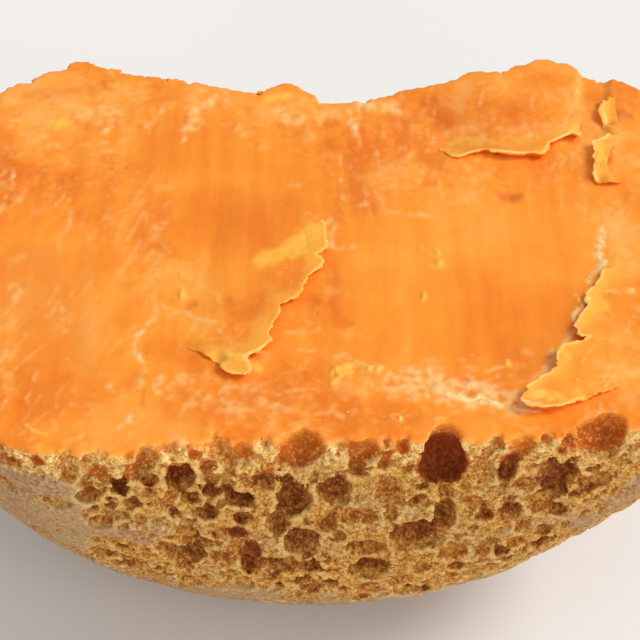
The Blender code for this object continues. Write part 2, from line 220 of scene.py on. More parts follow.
# Marks on the cut face, as soft strokes: from x and y, to x and y, how far to each side, how strong
THIN_PASTE = (
    (-61.1, 40.9, -58.3, 40.9, 2.6, 1.0), (-58.9, 28.1, -57.9, 27.1, 1.0, 0.75),
    (-4.6, -3.4, 0.2, 1.1, 4.4, 0.9), (-12.4, -8.2, -3.7, -3.6, 3.4, 0.9),
    (-17.8, -35.3, -14.5, -38.1, 2.9, 1.0), (-28.6, -11.7, -28.3, -17.9, 0.7, 0.8),
    (-26.1, -11.1, -26.0, -13.6, 0.6, 0.6), (-20.5, -17.9, -19.9, -21.6, 0.8, 0.7),
    (66.7, 43.9, 67.9, 39.4, 1.4, 1.0), (64.5, 31.4, 64.1, 22.8, 2.1, 1.0),
    (25.2, -3.8, 24.9, -6.9, 1.7, 0.9), (23.5, -8.1, 25.9, -8.6, 1.9, 0.6),
    (22.2, -17.0, 22.9, -19.4, 0.9, 0.9), (4.4, -42.2, 7.1, -37.6, 1.4, 0.9),
    (8.3, -39.3, 12.0, -39.3, 0.9, 0.8), (16.6, -53.6, 16.7, -54.9, 0.8, 0.8),
    (38.7, -37.3, 38.6, -39.0, 0.7, 1.0), (54.7, -18.6, 54.8, -21.6, 0.9, 1.0),
    (-58.7, -55.1, -54.1, -58.1, 0.7, 0.8), (-50.6, 61.6, -47.2, 54.6, 1.1, 0.7),
    (-10.7, 49.6, -7.4, 49.6, 2.3, 0.9), (58.6, -17.0, 58.4, -24.8, 2.2, 0.7),
    (54.5, -27.3, 57.6, -21.8, 2.2, 0.7), (42.6, -48.5, 47.1, -48.6, 3.0, 0.9),
    (50.7, -36.3, 53.0, -34.2, 1.8, 0.5), (-2.0, 49.9, 0.6, 40.1, 0.8, 0.7),
    (-29.3, -31.8, -19.5, -33.2, 2.6, 0.35), (31.5, 32.5, 55.5, 32.5, 2.2, 0.5),
    (-18.6, -11.1, -5.7, -19.8, 4.7, 0.25), (-59.1, -62.3, -50.0, -63.6, 2.1, 0.4),
)
DRIED = (
    (-52.6, 45.4, -48.8, 43.9, 5.8, 0.55), (-48.5, 40.1, -47.9, 37.9, 1.2, 0.8),
    (-35.5, 47.7, -39.6, 38.3, 1.5, 0.7), (-25.2, 48.4, -29.5, 39.4, 3.4, 0.75),
    (-23.9, 50.3, -31.9, 33.5, 0.8, 0.8), (-33.5, 10.8, -34.6, -11.1, 1.8, 0.4),
    (-34.1, -16.1, -33.7, -22.2, 0.6, 0.8), (-33.7, -22.2, -36.5, -28.8, 0.7, 0.8),
    (-36.7, -28.8, -37.2, -32.9, 0.7, 0.8), (-37.0, -32.6, -35.6, -39.3, 0.7, 0.85),
    (-35.6, -39.3, -36.3, -44.4, 0.6, 0.7), (-32.6, -42.1, -31.5, -46.1, 1.4, 0.7),
    (-39.1, -52.1, -38.6, -54.8, 1.2, 0.7), (-42.2, -43.8, -42.0, -46.1, 1.2, 0.6),
    (-55.0, -20.7, -52.8, -28.8, 1.9, 0.4), (-64.1, -20.4, -63.9, -14.5, 1.1, 0.6),
    (-32.8, -20.4, -20.3, -28.5, 1.3, 0.55), (-11.8, -12.0, -6.9, -12.0, 0.6, 0.7),
    (2.6, 7.1, 3.0, -2.8, 1.1, 0.9), (4.7, -35.0, 5.3, -35.8, 1.8, 0.55),
    (10.6, -44.9, 12.0, -46.1, 1.6, 0.6), (15.8, -40.4, 17.4, -48.3, 2.1, 0.6),
    (33.6, -44.1, 39.3, -43.5, 1.1, 0.6), (65.3, 12.5, 65.1, -10.5, 3.4, 0.35),
    (61.6, 24.2, 56.9, 10.4, 0.9, 0.4), (48.2, -36.4, 44.4, -43.3, 1.3, 0.9),
    (51.2, -31.8, 53.3, -29.4, 1.5, 0.9), (59.4, -17.6, 66.8, -17.6, 0.8, 0.8),
    (-7.6, 44.6, -5.0, 40.9, 2.8, 0.7), (1.1, 43.5, 4.3, 43.5, 3.0, 0.5),
    (7.1, 45.4, 8.4, 35.0, 0.6, 0.85), (10.0, 47.7, 8.4, 35.0, 0.6, 0.8),
    (12.3, 46.9, 17.4, 46.1, 4.5, 0.75), (19.7, 52.2, 20.2, 45.4, 0.4, 0.8),
    (19.1, 40.1, 19.7, 28.9, 0.4, 0.6), (25.5, 37.2, 25.5, 32.8, 0.7, 0.9),
    (21.0, 27.8, 24.1, 29.6, 1.4, 0.7), (13.6, 29.9, 14.1, 20.0, 0.6, 0.7),
    (6.0, 20.0, 5.9, 13.8, 0.8, 0.8), (9.9, 13.8, 10.8, 15.9, 1.1, 0.5),
    (9.0, 10.8, 13.0, 12.8, 0.8, 0.7), (13.0, 12.8, 16.4, 8.1, 0.7, 0.6),
    (16.4, 8.4, 24.7, 6.4, 0.7, 0.7), (14.7, 17.6, 17.4, 17.6, 3.1, 0.4),
    (23.1, 20.7, 24.0, 15.9, 1.5, 0.4), (-9.2, 17.2, -3.2, 19.0, 0.7, 0.5),
    (-17.9, 39.4, -16.9, 37.2, 1.7, 0.5), (-20.7, 48.4, -19.3, 48.4, 1.5, 0.6),
    (4.0, -3.1, 7.9, -2.8, 1.0, 0.8), (8.3, -39.3, 12.0, -39.3, 1.1, 0.8),
    (9.3, -41.6, 10.1, -41.6, 0.7, 0.7), (-0.2, -26.4, -0.2, -28.8, 0.8, 0.7),
    (-3.5, -33.8, -0.6, -33.8, 0.6, 0.7), (-7.1, -28.5, -4.8, -28.5, 0.5, 0.6),
    (-29.2, -59.7, -24.0, -62.3, 2.3, 0.5), (-56.8, 27.1, -61.0, 14.2, 0.4, 0.7),
    (-68.0, 19.3, -69.9, 8.4, 0.5, 0.7), (-54.5, 9.1, -56.3, -5.4, 0.5, 0.7),
    (-56.8, -40.7, -57.9, -49.4, 0.4, 0.7), (-61.3, -43.5, -62.8, -52.1, 0.4, 0.7),
    (-63.8, -34.4, -64.6, -37.9, 0.4, 0.6), (-52.1, -47.5, -53.2, -52.7, 0.4, 0.5),
    (-45.5, -51.6, -46.7, -58.6, 0.4, 0.6), (-71.0, 40.9, -65.7, 40.5, 0.6, 0.6),
    (-70.5, 38.3, -67.7, 37.9, 0.7, 0.5), (-66.1, 14.5, -65.2, 12.1, 0.9, 0.6),
    (3.0, -51.0, 4.7, -52.7, 0.8, 0.5), (58.0, -43.8, 60.3, -37.6, 0.3, 0.7),
    (61.5, -35.5, 67.7, -20.7, 0.3, 0.6), (49.8, -48.3, 57.9, -35.3, 0.3, 0.5),
    (43.9, 29.9, 28.8, 24.2, 1.0, 0.35), (56.7, -47.5, 56.8, -54.3, 0.4, 0.5),
    (30.8, 19.3, 38.9, 22.8, 1.7, 0.35), (-57.7, -25.2, -54.5, -19.8, 0.5, 0.3),
    (15.7, -42.7, 40.6, -48.3, 6.4, 0.85),
    (49.0, -34.0, 46.0, -41.0, 2.6, 0.7), (-11.2, -59.7, -3.4, -54.3, 3.1, 0.3),
    (-26.0, -45.0, -9.0, -50.0, 7.0, 0.5), (32.0, 36.0, 58.0, 36.0, 4.5, 0.4),
    (-6.0, -50.2, -4.9, -59.7, 0.3, 0.6),
)
CHALKY = (
    (19.4, -42.7, 25.7, -46.3, 0.7, 0.7), (25.7, -46.3, 30.6, -47.7, 1.1, 1.0),
    (30.6, -47.7, 37.6, -50.5, 1.1, 1.0), (36.5, -50.2, 44.7, -51.6, 0.5, 0.8),
    (61.3, 3.4, 60.6, -7.9, 1.1, 0.95), (60.2, -7.9, 57.9, -14.2, 0.8, 0.9),
    (56.1, -19.8, 53.4, -26.4, 0.9, 0.8), (-42.8, -63.4, -42.0, -63.4, 0.8, 1.0),
    (16.6, -53.8, 16.6, -54.8, 0.6, 0.8), (-68.7, 23.5, -68.5, 20.0, 0.7, 0.8),
    (-48.9, 39.4, -47.9, 37.9, 0.9, 0.5), (8.5, 42.4, 8.4, 35.7, 0.5, 0.6),
    (-26.1, 46.9, -26.9, 43.9, 1.4, 0.4), (-36.5, -28.8, -37.0, -30.0, 0.8, 0.6),
    (-36.3, -35.3, -35.9, -38.1, 0.4, 0.6), (30.4, -44.4, 36.6, -48.3, 1.4, 0.4),
    (-26.7, -61.8, -24.9, -60.2, 1.5, 0.5),
)
# Deeper orange paste, and painted shadows: along the slab's lip, on the slope left of it, beside chips and
# strokes, and left of the tongue's tip.
DEEP_AND_SHADED_PASTE = (
    (26.4, 48.4, 29.4, 41.6, 4.5, 0.85), (23.9, 43.9, 21.0, 40.9, 3.3, 0.5),
    (-46.9, 43.9, -46.7, 40.9, 0.7, 0.8), (-51.3, 55.3, -49.7, 53.4, 1.3, 0.6),
    (-35.0, -44.9, -34.7, -50.2, 0.5, 0.8), (41.5, 13.8, 43.7, 13.8, 2.0, 0.9),
    (7.4, 27.1, 10.8, 10.8, 3.1, 0.45), (2.7, -7.9, 4.7, -25.8, 2.6, 0.45),
    (2.6, -48.8, 6.5, -54.3, 6.2, 0.45), (-59.2, -40.4, -55.1, -51.6, 5.3, 0.45),
    (66.4, 47.7, 66.0, 45.4, 0.9, 1.0), (70.9, 43.5, 72.5, 41.6, 2.1, 0.8),
    (-27.1, -21.6, -25.8, -21.9, 1.5, 0.7), (-17.9, -18.6, -17.0, -21.6, 0.9, 0.7),
    (40.5, -47.2, 39.9, -49.9, 0.8, 0.9), (54.0, -28.8, 55.0, -30.9, 0.8, 0.9),
    (-41.0, -25.8, -37.2, -19.8, 3.7, 0.25), (-3.5, -41.8, -7.4, -48.8, 3.3, 0.4),
    (34.8, 29.9, 50.6, 28.1, 0.9, 0.8), (-46.9, -4.1, -52.0, -19.8, 6.4, 0.25),
    (-15.4, -47.5, -5.5, -44.7, 3.3, 0.35), (57.4, -51.6, 64.5, -48.8, 4.2, 0.3),
    (-29.2, -51.6, -23.2, -54.3, 3.7, 0.3), (17.3, 42.4, 19.6, 26.4, 1.9, 0.4),
    (-67.7, 51.5, -53.7, 53.0, 2.7, 0.35),
    (-62.0, -10.0, -50.0, -46.0, 13.0, 0.35),
)
# What the face is made of: sizes and seeds of its small, middling and broad lumps and of its finest,
# two ways in which marks wander, and its long swell. Then the relief in millimetres: the swell and
# what lies under the plane, the lumps' share, and how high marks and chips stand
FACE_LUMPS = ((1.0, 41), (2.4, 42), (6.0, 43))
FACE_FINE = (0.6, 40)
WANDER_SEEDS = (44, 46)
FACE_SWELL = (13.0, 51)
SWELL_HEIGHT = 0.12
FACE_SUNK = 0.15
LUMP_HEIGHTS = (0.06, 0.035, 0.02)
DRIED_HEIGHT = 0.07
SCRATCH_HEIGHT = 0.06
CHALK_HEIGHT = 0.12
CHIP_HEIGHT = 0.45
LAYER_EDGE = (-0.6, -3.0)
# Smooth facets, where the knife slid
CLEAN = (
    (14.0, -4.0, 50.0, -4.0, 19.0, 1.0), (14.0, -22.0, 50.0, -25.0, 18.0, 1.0),
    (-30.0, 32.0, -9.0, 16.0, 18.0, 1.0), (-27.0, 12.0, -12.0, -8.0, 15.0, 0.9),
    (-58.0, 0.0, -46.0, -30.0, 18.0, 0.7), (33.0, 32.0, 53.0, 32.0, 5.0, 0.9),
    (58.0, -22.0, 44.0, -48.0, 8.0, 0.9), (40.0, 8.0, 54.0, 16.0, 10.0, 0.7),
    (-62.0, -50.0, -30.0, -56.0, 9.0, 0.6),
)
# Fine scratches: how many, where across and along, which way in degrees, how long
SCRATCHES = (
    (70, (-80.0, -22.0), (-58.0, 26.0), 246.0, (3.0, 12.0)),
    (46, (-76.0, -14.0), (26.0, 52.0), 182.0, (2.5, 8.0)),
    (60, (22.0, 66.0), (8.0, 52.0), 262.0, (2.0, 7.0)),
    (40, (50.0, 84.0), (-48.0, 26.0), 62.0, (3.0, 12.0)),
    (50, (-14.0, 46.0), (-60.0, -38.0), 200.0, (1.5, 6.0)),
    (30, (4.0, 22.0), (6.0, 50.0), 268.0, (2.0, 6.0)),
)
# For all scratches: the seed, how far they stray from their way, how far to each side, how strong
SCRATCH_SEED = 48
SCRATCH_SPREAD = 7.0
SCRATCH_REACH = (0.26, 0.46)
SCRATCH_STRENGTH = (0.2, 0.75)

# Smaller pits beside the big ones: across, below the cut face, width, height, how dark inside
SIDE_PITS = (
    (38.0, 9.4, 3.4, 6.0, 0.9), (34.4, 24.6, 4.1, 4.1, 0.8), (45.6, 13.4, 4.4, 2.9, 0.9),
    (49.6, 3.8, 5.1, 5.6, 0.3), (36.0, 43.0, 3.4, 2.4, 0.9), (55.6, 28.2, 2.9, 2.4, 0.8),
    (-33.2, 13.0, 2.8, 2.8, 0.9), (-28.8, 20.6, 3.2, 3.5, 0.9), (-16.4, 28.6, 4.1, 4.1, 1.0),
    (-14.4, 36.6, 3.8, 4.2, 1.0), (-8.4, 25.4, 3.7, 5.8, 0.8), (-24.0, 2.6, 2.0, 2.8, 0.5),
    (-36.8, 1.0, 1.6, 2.2, 0.5), (-55.2, 4.2, 3.5, 3.9, 0.6), (-36.0, 22.6, 3.2, 3.5, 0.4),
    (-19.6, 17.8, 2.0, 2.3, 0.4), (-14.8, 2.6, 3.9, 3.9, 0.5), (-14.8, 10.6, 3.2, 3.4, 0.8),
    (16.8, 2.2, 2.7, 3.4, 0.6), (13.6, 3.8, 2.0, 2.8, 0.6), (25.6, 15.8, 3.2, 3.4, 0.3),
)
SIDE_PIT_DEPTH_SHARE = 0.5
# How much wider, higher and deeper the near pits are carved than their rows say, how much wider and
# higher the side pits are, how much depth the solid model's pits lose first, how uneven the near pits
# are, and how dark the scattered ones
NEAR_PIT_GROWN = (1.12, 1.36, 1.12)
SIDE_PIT_GROWN = (1.08, 1.3)
PIT_DEPTH_LESS = 0.3
NEAR_PIT_WILDNESS = 0.8
SCATTER_DARKNESS = (0.3, 0.9)
# The first two near pits again, as they are carved: across, below the cut face, how far in from the
# rind, width, height, depth, how far the mouth turns up, how dark
BIG_PIT_ROWS = 2
BIG_PIT = (
    (24.9, 5.6, 0.0, 8.6, 9.8, 7.6, 0.6, 1.0),
    (24.7, 2.3, 0.6, 8.0, 6.6, 5.2, 0.9, 0.7),
    (25.2, 0.4, 2.4, 6.0, 6.6, 3.8, 2.2, 0.42),
)
# How far a pit's wall bulges, as a share of its size, how rough it is at most and as a share of its
# size, how far past its opening its size counts, and how much more painted shade its upper wall gets than its
# dusty lower lip
PIT_LOBES = 0.11
PIT_ROUGHNESS = 0.42
PIT_ROUGHNESS_SHARE = 0.22
PIT_SPREAD_SHARE = 1.2
DUST_AND_SHADE_SHARE = 0.22
# Pits are less dark near the cut: from this far below it on, and most at this
NEAR_CUT_BAND = (12.0, 4.0)

# Where the mites ate the rind away: how far in, and how large the patches of old skin and the
# raggedness of their edges are
SKIN_RECESS = 1.0
EATEN_PATCH = 8.0
EATEN_EDGE = 2.2
# Old skin is left low on the left and on the right: how much, from which x to which, and from how
# far below the cut to how far. It is also left at the foot and on the far side
OLD_SKIN_LEFT = (2.8, (-36.0, -60.0), (5.0, 12.0))
OLD_SKIN_RIGHT = (1.3, (42.0, 66.0), (10.0, 24.0))
OLD_SKIN_FOOT = (1.8, (44.0, 60.0))
EATEN_FAR = 0.1
EATEN_NEAR = 1.1
NEAR_SIDE_BAND = (0.0, 26.0)
# The rind's unevenness: size and seed of its lobes; strength, size and seed of its rough lumps; size
# and seed of its grain; and how high these stand on eaten rind, near the skin, and on old skin
LOBES = (3.4, 70)
ROUGH_LUMPS = ((0.75, 1.8, 71), (0.6, 0.8, 72))
GRAIN = (0.55, 73)
EATEN_GRAIN_HEIGHT = 0.22
EATEN_GRAIN_REACH = 3.0
SKIN_ROUGH_HEIGHT = 0.06
SKIN_GRAIN_HEIGHT = 0.05
# The rim crumbled on the near side, from this y on. On the left, from this x on, it is cleaner
CRUMBLED_ALONG = (-20.0, -36.0)
LEFT_RIM = (-28.0, -40.0)

# The crowds of small pits and the pores in the skin: how many are tried, how far round the axis,
# which share of the rind from the far pole on, how wide, and how near two may come, as a share of
# their widths
CROWD_SEED = 12
NEAR_CROWD = dict(tries=6000, turn=(-1.35, 1.35), area=(0.52, 0.998), width=(1.4, 6.2), overlap=0.38)
FAR_CROWD = dict(tries=4200, turn=(-1.6, 1.6), area=(0.002, 0.62), width=(1.6, 5.2), overlap=0.44)
CROWD_SKEW = 1.9
TAKEN_GROWN = 1.55
CROWD_DEPTH_SHARE = (0.45, 0.8)
CROWD_HEIGHT_SHARE = (0.7, 1.5)
LOWEST_PIT = 1.5
PORES = dict(tries=1500, turn=(-1.6, 1.6), area=(0.002, 0.998), width=(1.4, 3.4), overlap=0.9)
PORE_HEIGHT_SHARE = 0.42
PORE_DEPTH = 1.1
PORE_DARKNESS = 0.8
PORE_ROUNDING = 0.25

# Loose crumbs: the attribute that says where they lie, how many on each square metre, the seed, and
# the smallest and the largest size in metres
STREWN_INPUTS = ("Share", "Per square metre", "Seed", "Smallest", "Largest")
STREWN = dict(
    rind_granules=("granules", 1.1e6, 3, 0.00025, 0.0007),
    rim_granules=("granules", 1.1e6, 4, 0.00025, 0.0007),
    face_crumbs=("crumbs", 4.0e6, 5, 0.00018, 0.0006),
)

# Grid of the carving: its finest and coarsest steps, and where along y it starts to coarsen
FINE_STEP = 0.45
COARSE_STEP = 0.8
COARSENED_PER_MM = 0.02
FINE_UP_TO = -34.0
GRID_MARGIN = 2.5

# How the body is put together: the rim's rounding, how far crumbled rim sinks, how many planes a
# hollow is felt away, where the two pieces of the body overlap, and how they are thinned
RIM_ROUNDING = 0.3
CRUMBLED_SINK = 0.55
HOLLOW_REACH = 3
TOP_SHEET_BELOW = 2.8
CORE_TOP_BELOW = 1.6
BODY_TRIANGLES = 194000
NEAR_WEIGHT = 0.5
NEAR_RIND_FROM = -8.0
NEAR_RIND_ABOVE = 8.0
THIN_STRENGTH = 0.02
# Grains lie on the rind above this height, and a few crumbs on all of the worn paste
GRAINS_ABOVE = 3.0
CRUMBS_ELSEWHERE = 0.0015
CRUMB_SEED = 5

# Colours along ramps. By tone: golden eaten rind, greyer patches of it, the fresh rim, the walls and
# the floors of pits. By height: walls of pits that reach the cut. By clouds: the cut paste
RAMPS = dict(
    golden=((0.26, "#7C4410"), (0.39, "#B2762A"), (0.52, "#D49E48"), (0.68, "#E6BC76")),
    greyed=((0.26, "#7E5428"), (0.38, "#A8804A"), (0.50, "#C29C64"), (0.66, "#DABC86")),
    fresh=((0.26, "#B4702A"), (0.38, "#E2A44C"), (0.50, "#F8CC76"), (0.66, "#FFE6AC")),
    pit_wall=((0.26, "#8C4A12"), (0.42, "#AC6824"), (0.55, "#C68C40"), (0.70, "#E0B062")),
    pit_floor=((0.28, "#682A08"), (0.46, "#7E3A10"), (0.60, "#965018"), (0.76, "#B47634")),
    fresh_wall=((0.10, "#9E5010"), (0.45, "#AC5410"), (0.75, "#C06218"), (0.97, "#EA8A2A")),
    paste=((0.30, "#EE7E20"), (0.44, "#F88E28"), (0.54, "#FF982E"), (0.66, "#FFA340"), (0.78, "#FFAC54")),
)
# Marks on the paste by name, with their colour and how far they cover
PASTE_MARKS = (("deep", "#DE6A16", 0.9), ("dried", "#FFC47C", 0.9), ("thin", "#FFBE4A", 0.9),
               ("chalk", "#FFDE9C", 1.0))
KNIFE_TURN = 0.14
DRAG_STRETCH = 0.1
# Sizes of the materials' patterns in millimetres
VEINS = 30.0
DRAG = 5.0
SCUFFS = 1.5
PATCHES = 14.0
BLOTS = 2.4
CRUMB = 1.1
CRUMB_CELLS = 0.62
PINHOLE_SHADE_CELLS = 1.3
GRAIN_TONES = 1.4

# The studio: each light's name, place, power in watts and size in metres, and the photo's camera
LIGHTS = (
    ("high window on the right", (5.0, 0.6, 5.6), 350.0, 3.2),
    ("low window on the right", (3.6, -2.4, 1.6), 56.0, 1.8),
    ("fill in front", (-0.6, -2.6, 0.6), 14.0, 1.0),
)
LIT_PLACE = (0.0, 0.0, 0.05)
SKY_COLOUR = "#F6F5F4"
SKY_STRENGTH = 0.54
TABLETOP_REACH = 6.0
CAMERA_PLACE = (0.00048, -0.3276, 0.37396)
CAMERA_TILT = math.radians(46.0)
CAMERA_LENS = 113.47
CAMERA_SENSOR = 36.0


def bump(at, middle, height, width):
    """A smooth swelling round a middle."""
    return height * np.exp(-((at - middle) / width) ** 2)


def half_height(radius, side):
    """How far from the ball's middle its skin lies along the axis: side is -1 near, +1 far."""
    share = max(0.0, 1.0 - (radius / BALL_RADIUS) ** RADIUS_POWER) ** (1.0 / HEIGHT_POWER)
    if side < 0:
        return NEAR_HALF_HEIGHT * share
    dimple = POLE_DIMPLE_DEPTH * math.exp(-((radius / POLE_DIMPLE_REACH) ** 2))
    return max(0.0, FAR_HALF_HEIGHT * share - dimple)


def swollen(x, y, z):
    """Add the slow swellings to a point of the even ball."""
    below_face = min(0.0, z - FACE_HEIGHT)
    if y < 0:
        swell = sum(bump(x, *place) for place in NEAR_SWELLS) - NEAR_SINK
        share = min(1.0, -y / SIDE_FADE) * math.exp(below_face / NEAR_SWELL_DROP)
        return Vector((x, y - swell * share + MIDDLE_SHIFT, z))
    knob = sum(bump(x, *place) for place in FAR_KNOBS)
    share = min(1.0, y / SIDE_FADE) * math.exp(below_face / FAR_KNOB_DROP)
    return Vector((x, y + knob * share + MIDDLE_SHIFT, z))


def rind_point(turn, along):
    """A point of the rind: turn goes round the axis from straight down, along from the
    far pole (0) over the rim to the near pole (pi)."""
    radius = BALL_RADIUS * math.sin(along) ** (2.0 / RADIUS_POWER)
    side = 1.0 if along < math.pi / 2 else -1.0
    y = side * half_height(radius, side)
    return swollen(radius * math.sin(turn), y, AXIS_HEIGHT - radius * math.cos(turn))


def outline_table():
    """Angles along the outline, with the distance and the rind area from the far pole."""
    alongs = np.linspace(0.0, math.pi, TABLE_STEPS + 1)
    radii = BALL_RADIUS * np.clip(np.sin(alongs), 0.0, 1.0) ** (2.0 / RADIUS_POWER)
    sides = np.where(alongs < math.pi / 2, 1.0, -1.0)
    heights = np.array([side * half_height(radius, side) for radius, side in zip(radii, sides)])
    lengths = np.hypot(np.diff(radii), np.diff(heights))
    areas = lengths * (radii[1:] + radii[:-1])
    distance = np.concatenate(([0.0], np.cumsum(lengths)))
    area = np.concatenate(([0.0], np.cumsum(areas)))
    return alongs, distance / distance[-1], area / area[-1]


def rind_frame(turn, along):
    """The point with its directions across, up along the rind, and outwards."""
    step = 0.001
    point = rind_point(turn, along)
    round_axis = rind_point(turn + step, along) - rind_point(turn - step, along)
    over_rim = rind_point(turn, along + step) - rind_point(turn, along - step)
    outward = round_axis.cross(over_rim).normalized()
    if outward.dot(point - Vector((0.0, 0.0, AXIS_HEIGHT))) < 0:
        outward.negate()
    across = Vector((1.0, 0.0, 0.0))
    if abs(outward.x) > 0.9:
        across = Vector((0.0, 1.0, 0.0))
    up = outward.cross(across).normalized()
    across = up.cross(outward).normalized()
    return point, across, up, outward


def place_on_side(x, below, side):
    """Turn and along of the point that lies x across and so far below the face."""
    drop = below + CUT_BELOW_AXIS
    radius = min(math.hypot(x, drop), BALL_RADIUS)
    along = math.asin((radius / BALL_RADIUS) ** (RADIUS_POWER / 2.0))
    if side < 0:
        along = math.pi - along
    return math.atan2(x, drop), along


def scattered_pits(taken, rng, count, width, gap, turn, area):
    """Pits at random that keep clear of the face, of each other and of the rest spot."""
    alongs, _, areas = outline_table()
    found = []
    for _ in range(SCATTER_TRIES):
        frame = rind_frame(rng.uniform(*turn), float(np.interp(rng.uniform(*area), areas, alongs)))
        across = rng.uniform(*width)
        height = across * rng.uniform(*SCATTER_HEIGHT_SHARE)
        depth = across * rng.uniform(*SCATTER_DEPTH_SHARE)
        point = frame[0]
        if point.z > FACE_HEIGHT - height or point.length < REST_SPOT_REACH:
            continue
        if any((point - other[0]).length < (across + max(size)) / 2.0 + gap
               for other, *size, _ in taken + found):
            continue
        found.append((frame, across, height, depth))
        if len(found) == count:
            break
    return found


def placed_pits():
    """The pits that the solid model has too, as place, width, height and depth."""
    rng = random.Random(SCATTER_SEED)
    pits = []
    for side, rows in ((-1.0, NEAR_PITS), (1.0, FAR_BITES)):
        for x, below, width, height, depth, *dark in rows:
            pits.append((rind_frame(*place_on_side(x, below, side)), width, height, depth, *dark))
    pits += scattered_pits(pits, rng, **SMALL_SCATTER)
    pits += scattered_pits(pits, rng, **LARGE_SCATTER)
    return pits


def grid_lines():
    """Where the grid's planes lie: fine on the near side, coarser behind."""
    reach_x = BALL_RADIUS + GRID_MARGIN
    xs = np.arange(-reach_x, reach_x, FINE_STEP)
    ys = [-NEAR_HALF_HEIGHT - GRID_MARGIN - 4.0]
    while ys[-1] < FAR_HALF_HEIGHT + GRID_MARGIN:
        grown = FINE_STEP + max(0.0, ys[-1] - FINE_UP_TO) * COARSENED_PER_MM
        ys.append(ys[-1] + min(grown, COARSE_STEP))
    zs = np.arange(-GRID_MARGIN, FACE_HEIGHT + GRID_MARGIN + 2.0, FINE_STEP)
    return xs.astype(np.float32), np.array(ys, np.float32), zs.astype(np.float32)


# The grid's planes, and the same shaped to spread over the whole grid and over the face
GRID = grid_lines()
X, Y, Z = np.ix_(*GRID)
FACE_X, FACE_Y = np.ix_(*GRID[:2])
OVER_FACE = (0, 1)
CORNERS = [(i, j, k) for i in (0, 1) for j in (0, 1) for k in (0, 1)]


def blended(lattice, axis, lines, spacing):
    """A coarse lattice blended along one axis, by cubic splines, on to the grid's planes."""
    at = (lines - lines[0]) / spacing + 1.0
    base = np.floor(at).astype(int)
    t = at - base
    weights = ((1 - t) ** 3, 3 * t ** 3 - 6 * t ** 2 + 4, -3 * t ** 3 + 3 * t ** 2 + 3 * t + 1, t ** 3)
    shape = [1] * lattice.ndim
    shape[axis] = -1
    return sum(np.take(lattice, base + step - 1, axis) * (weight / 6).astype(np.float32).reshape(shape)
               for step, weight in enumerate(weights))


def lumps(spacing, seed, axes=(0, 1, 2), grid=GRID):
    """A smooth random field over the grid, spread about 0 by 1, with lumps of this size."""
    planes = [grid[axis] for axis in axes]
    counts = [int((lines[-1] - lines[0]) / spacing) + 5 for lines in planes]
    field = np.random.default_rng(seed).standard_normal(counts, np.float32)
    for axis in reversed(range(len(axes))):
        field = blended(field, axis, planes[axis], spacing)
    return field / field.std()


def smooth_step(low, high, value):
    """From 0 at low to 1 at high, with soft ends; low may be the greater."""
    t = np.clip((value - low) / (high - low), 0.0, 1.0)
    return t * t * (3.0 - 2.0 * t)


def rounded_max(a, b, width):
    """The greater of two fields, with the crease between them rounded."""
    near = np.maximum(width - np.abs(a - b), 0.0)
    return np.maximum(a, b) + near * near / (4.0 * width)


def ball_field():
    """Distance to the uneaten ball's skin, negative inside."""
    y = Y - MIDDLE_SHIFT
    below_face = np.minimum(Z - FACE_HEIGHT, 0.0)
    swell = sum(bump(X, *place) for place in NEAR_SWELLS) - NEAR_SINK
    knob = sum(bump(X, *place) for place in FAR_KNOBS)
    even = (y + swell * np.clip(-y / SIDE_FADE, 0.0, 1.0) * np.exp(below_face / NEAR_SWELL_DROP)
            - knob * np.clip(y / SIDE_FADE, 0.0, 1.0) * np.exp(below_face / FAR_KNOB_DROP))
    radius = np.hypot(X, Z - AXIS_HEIGHT)
    dimple = POLE_DIMPLE_DEPTH * np.exp(-(radius / POLE_DIMPLE_REACH) ** 2)
    even = np.where(even > 0, even + dimple, even)
    reach = np.where(even > 0, FAR_HALF_HEIGHT, NEAR_HALF_HEIGHT).astype(np.float32)
    level = (radius / BALL_RADIUS) ** RADIUS_POWER + (np.abs(even) / reach) ** HEIGHT_POWER - 1.0
    slope_out = RADIUS_POWER * radius ** (RADIUS_POWER - 1) / BALL_RADIUS ** RADIUS_POWER
    slope_up = HEIGHT_POWER * np.abs(even) ** (HEIGHT_POWER - 1) / reach ** HEIGHT_POWER
    return np.clip(level / np.hypot(slope_out, slope_up), -30.0, 30.0).astype(np.float32)


def value_at(field, point):
    """The field's value at the grid point nearest to a place."""
    return field[tuple(min(int(np.searchsorted(lines, place)), len(lines) - 1)
                       for lines, place in zip(GRID, point))]


def near_cut(point):
    """How near a place of the rind lies to the cut face, from 0 to 1."""
    return smooth_step(*NEAR_CUT_BAND, FACE_HEIGHT - point.z)


def clean_rim(point):
    """How much a place belongs to the rims where few pits reach the cut: near on the left, and far."""
    below = FACE_HEIGHT - point[2]
    near = smooth_step(*LEFT_RIM, point[0]) * smooth_step(10.0, 5.0, below)
    return max(near, 0.8 * smooth_step(10.0, 30.0, point[1]) * smooth_step(12.0, 6.0, below))


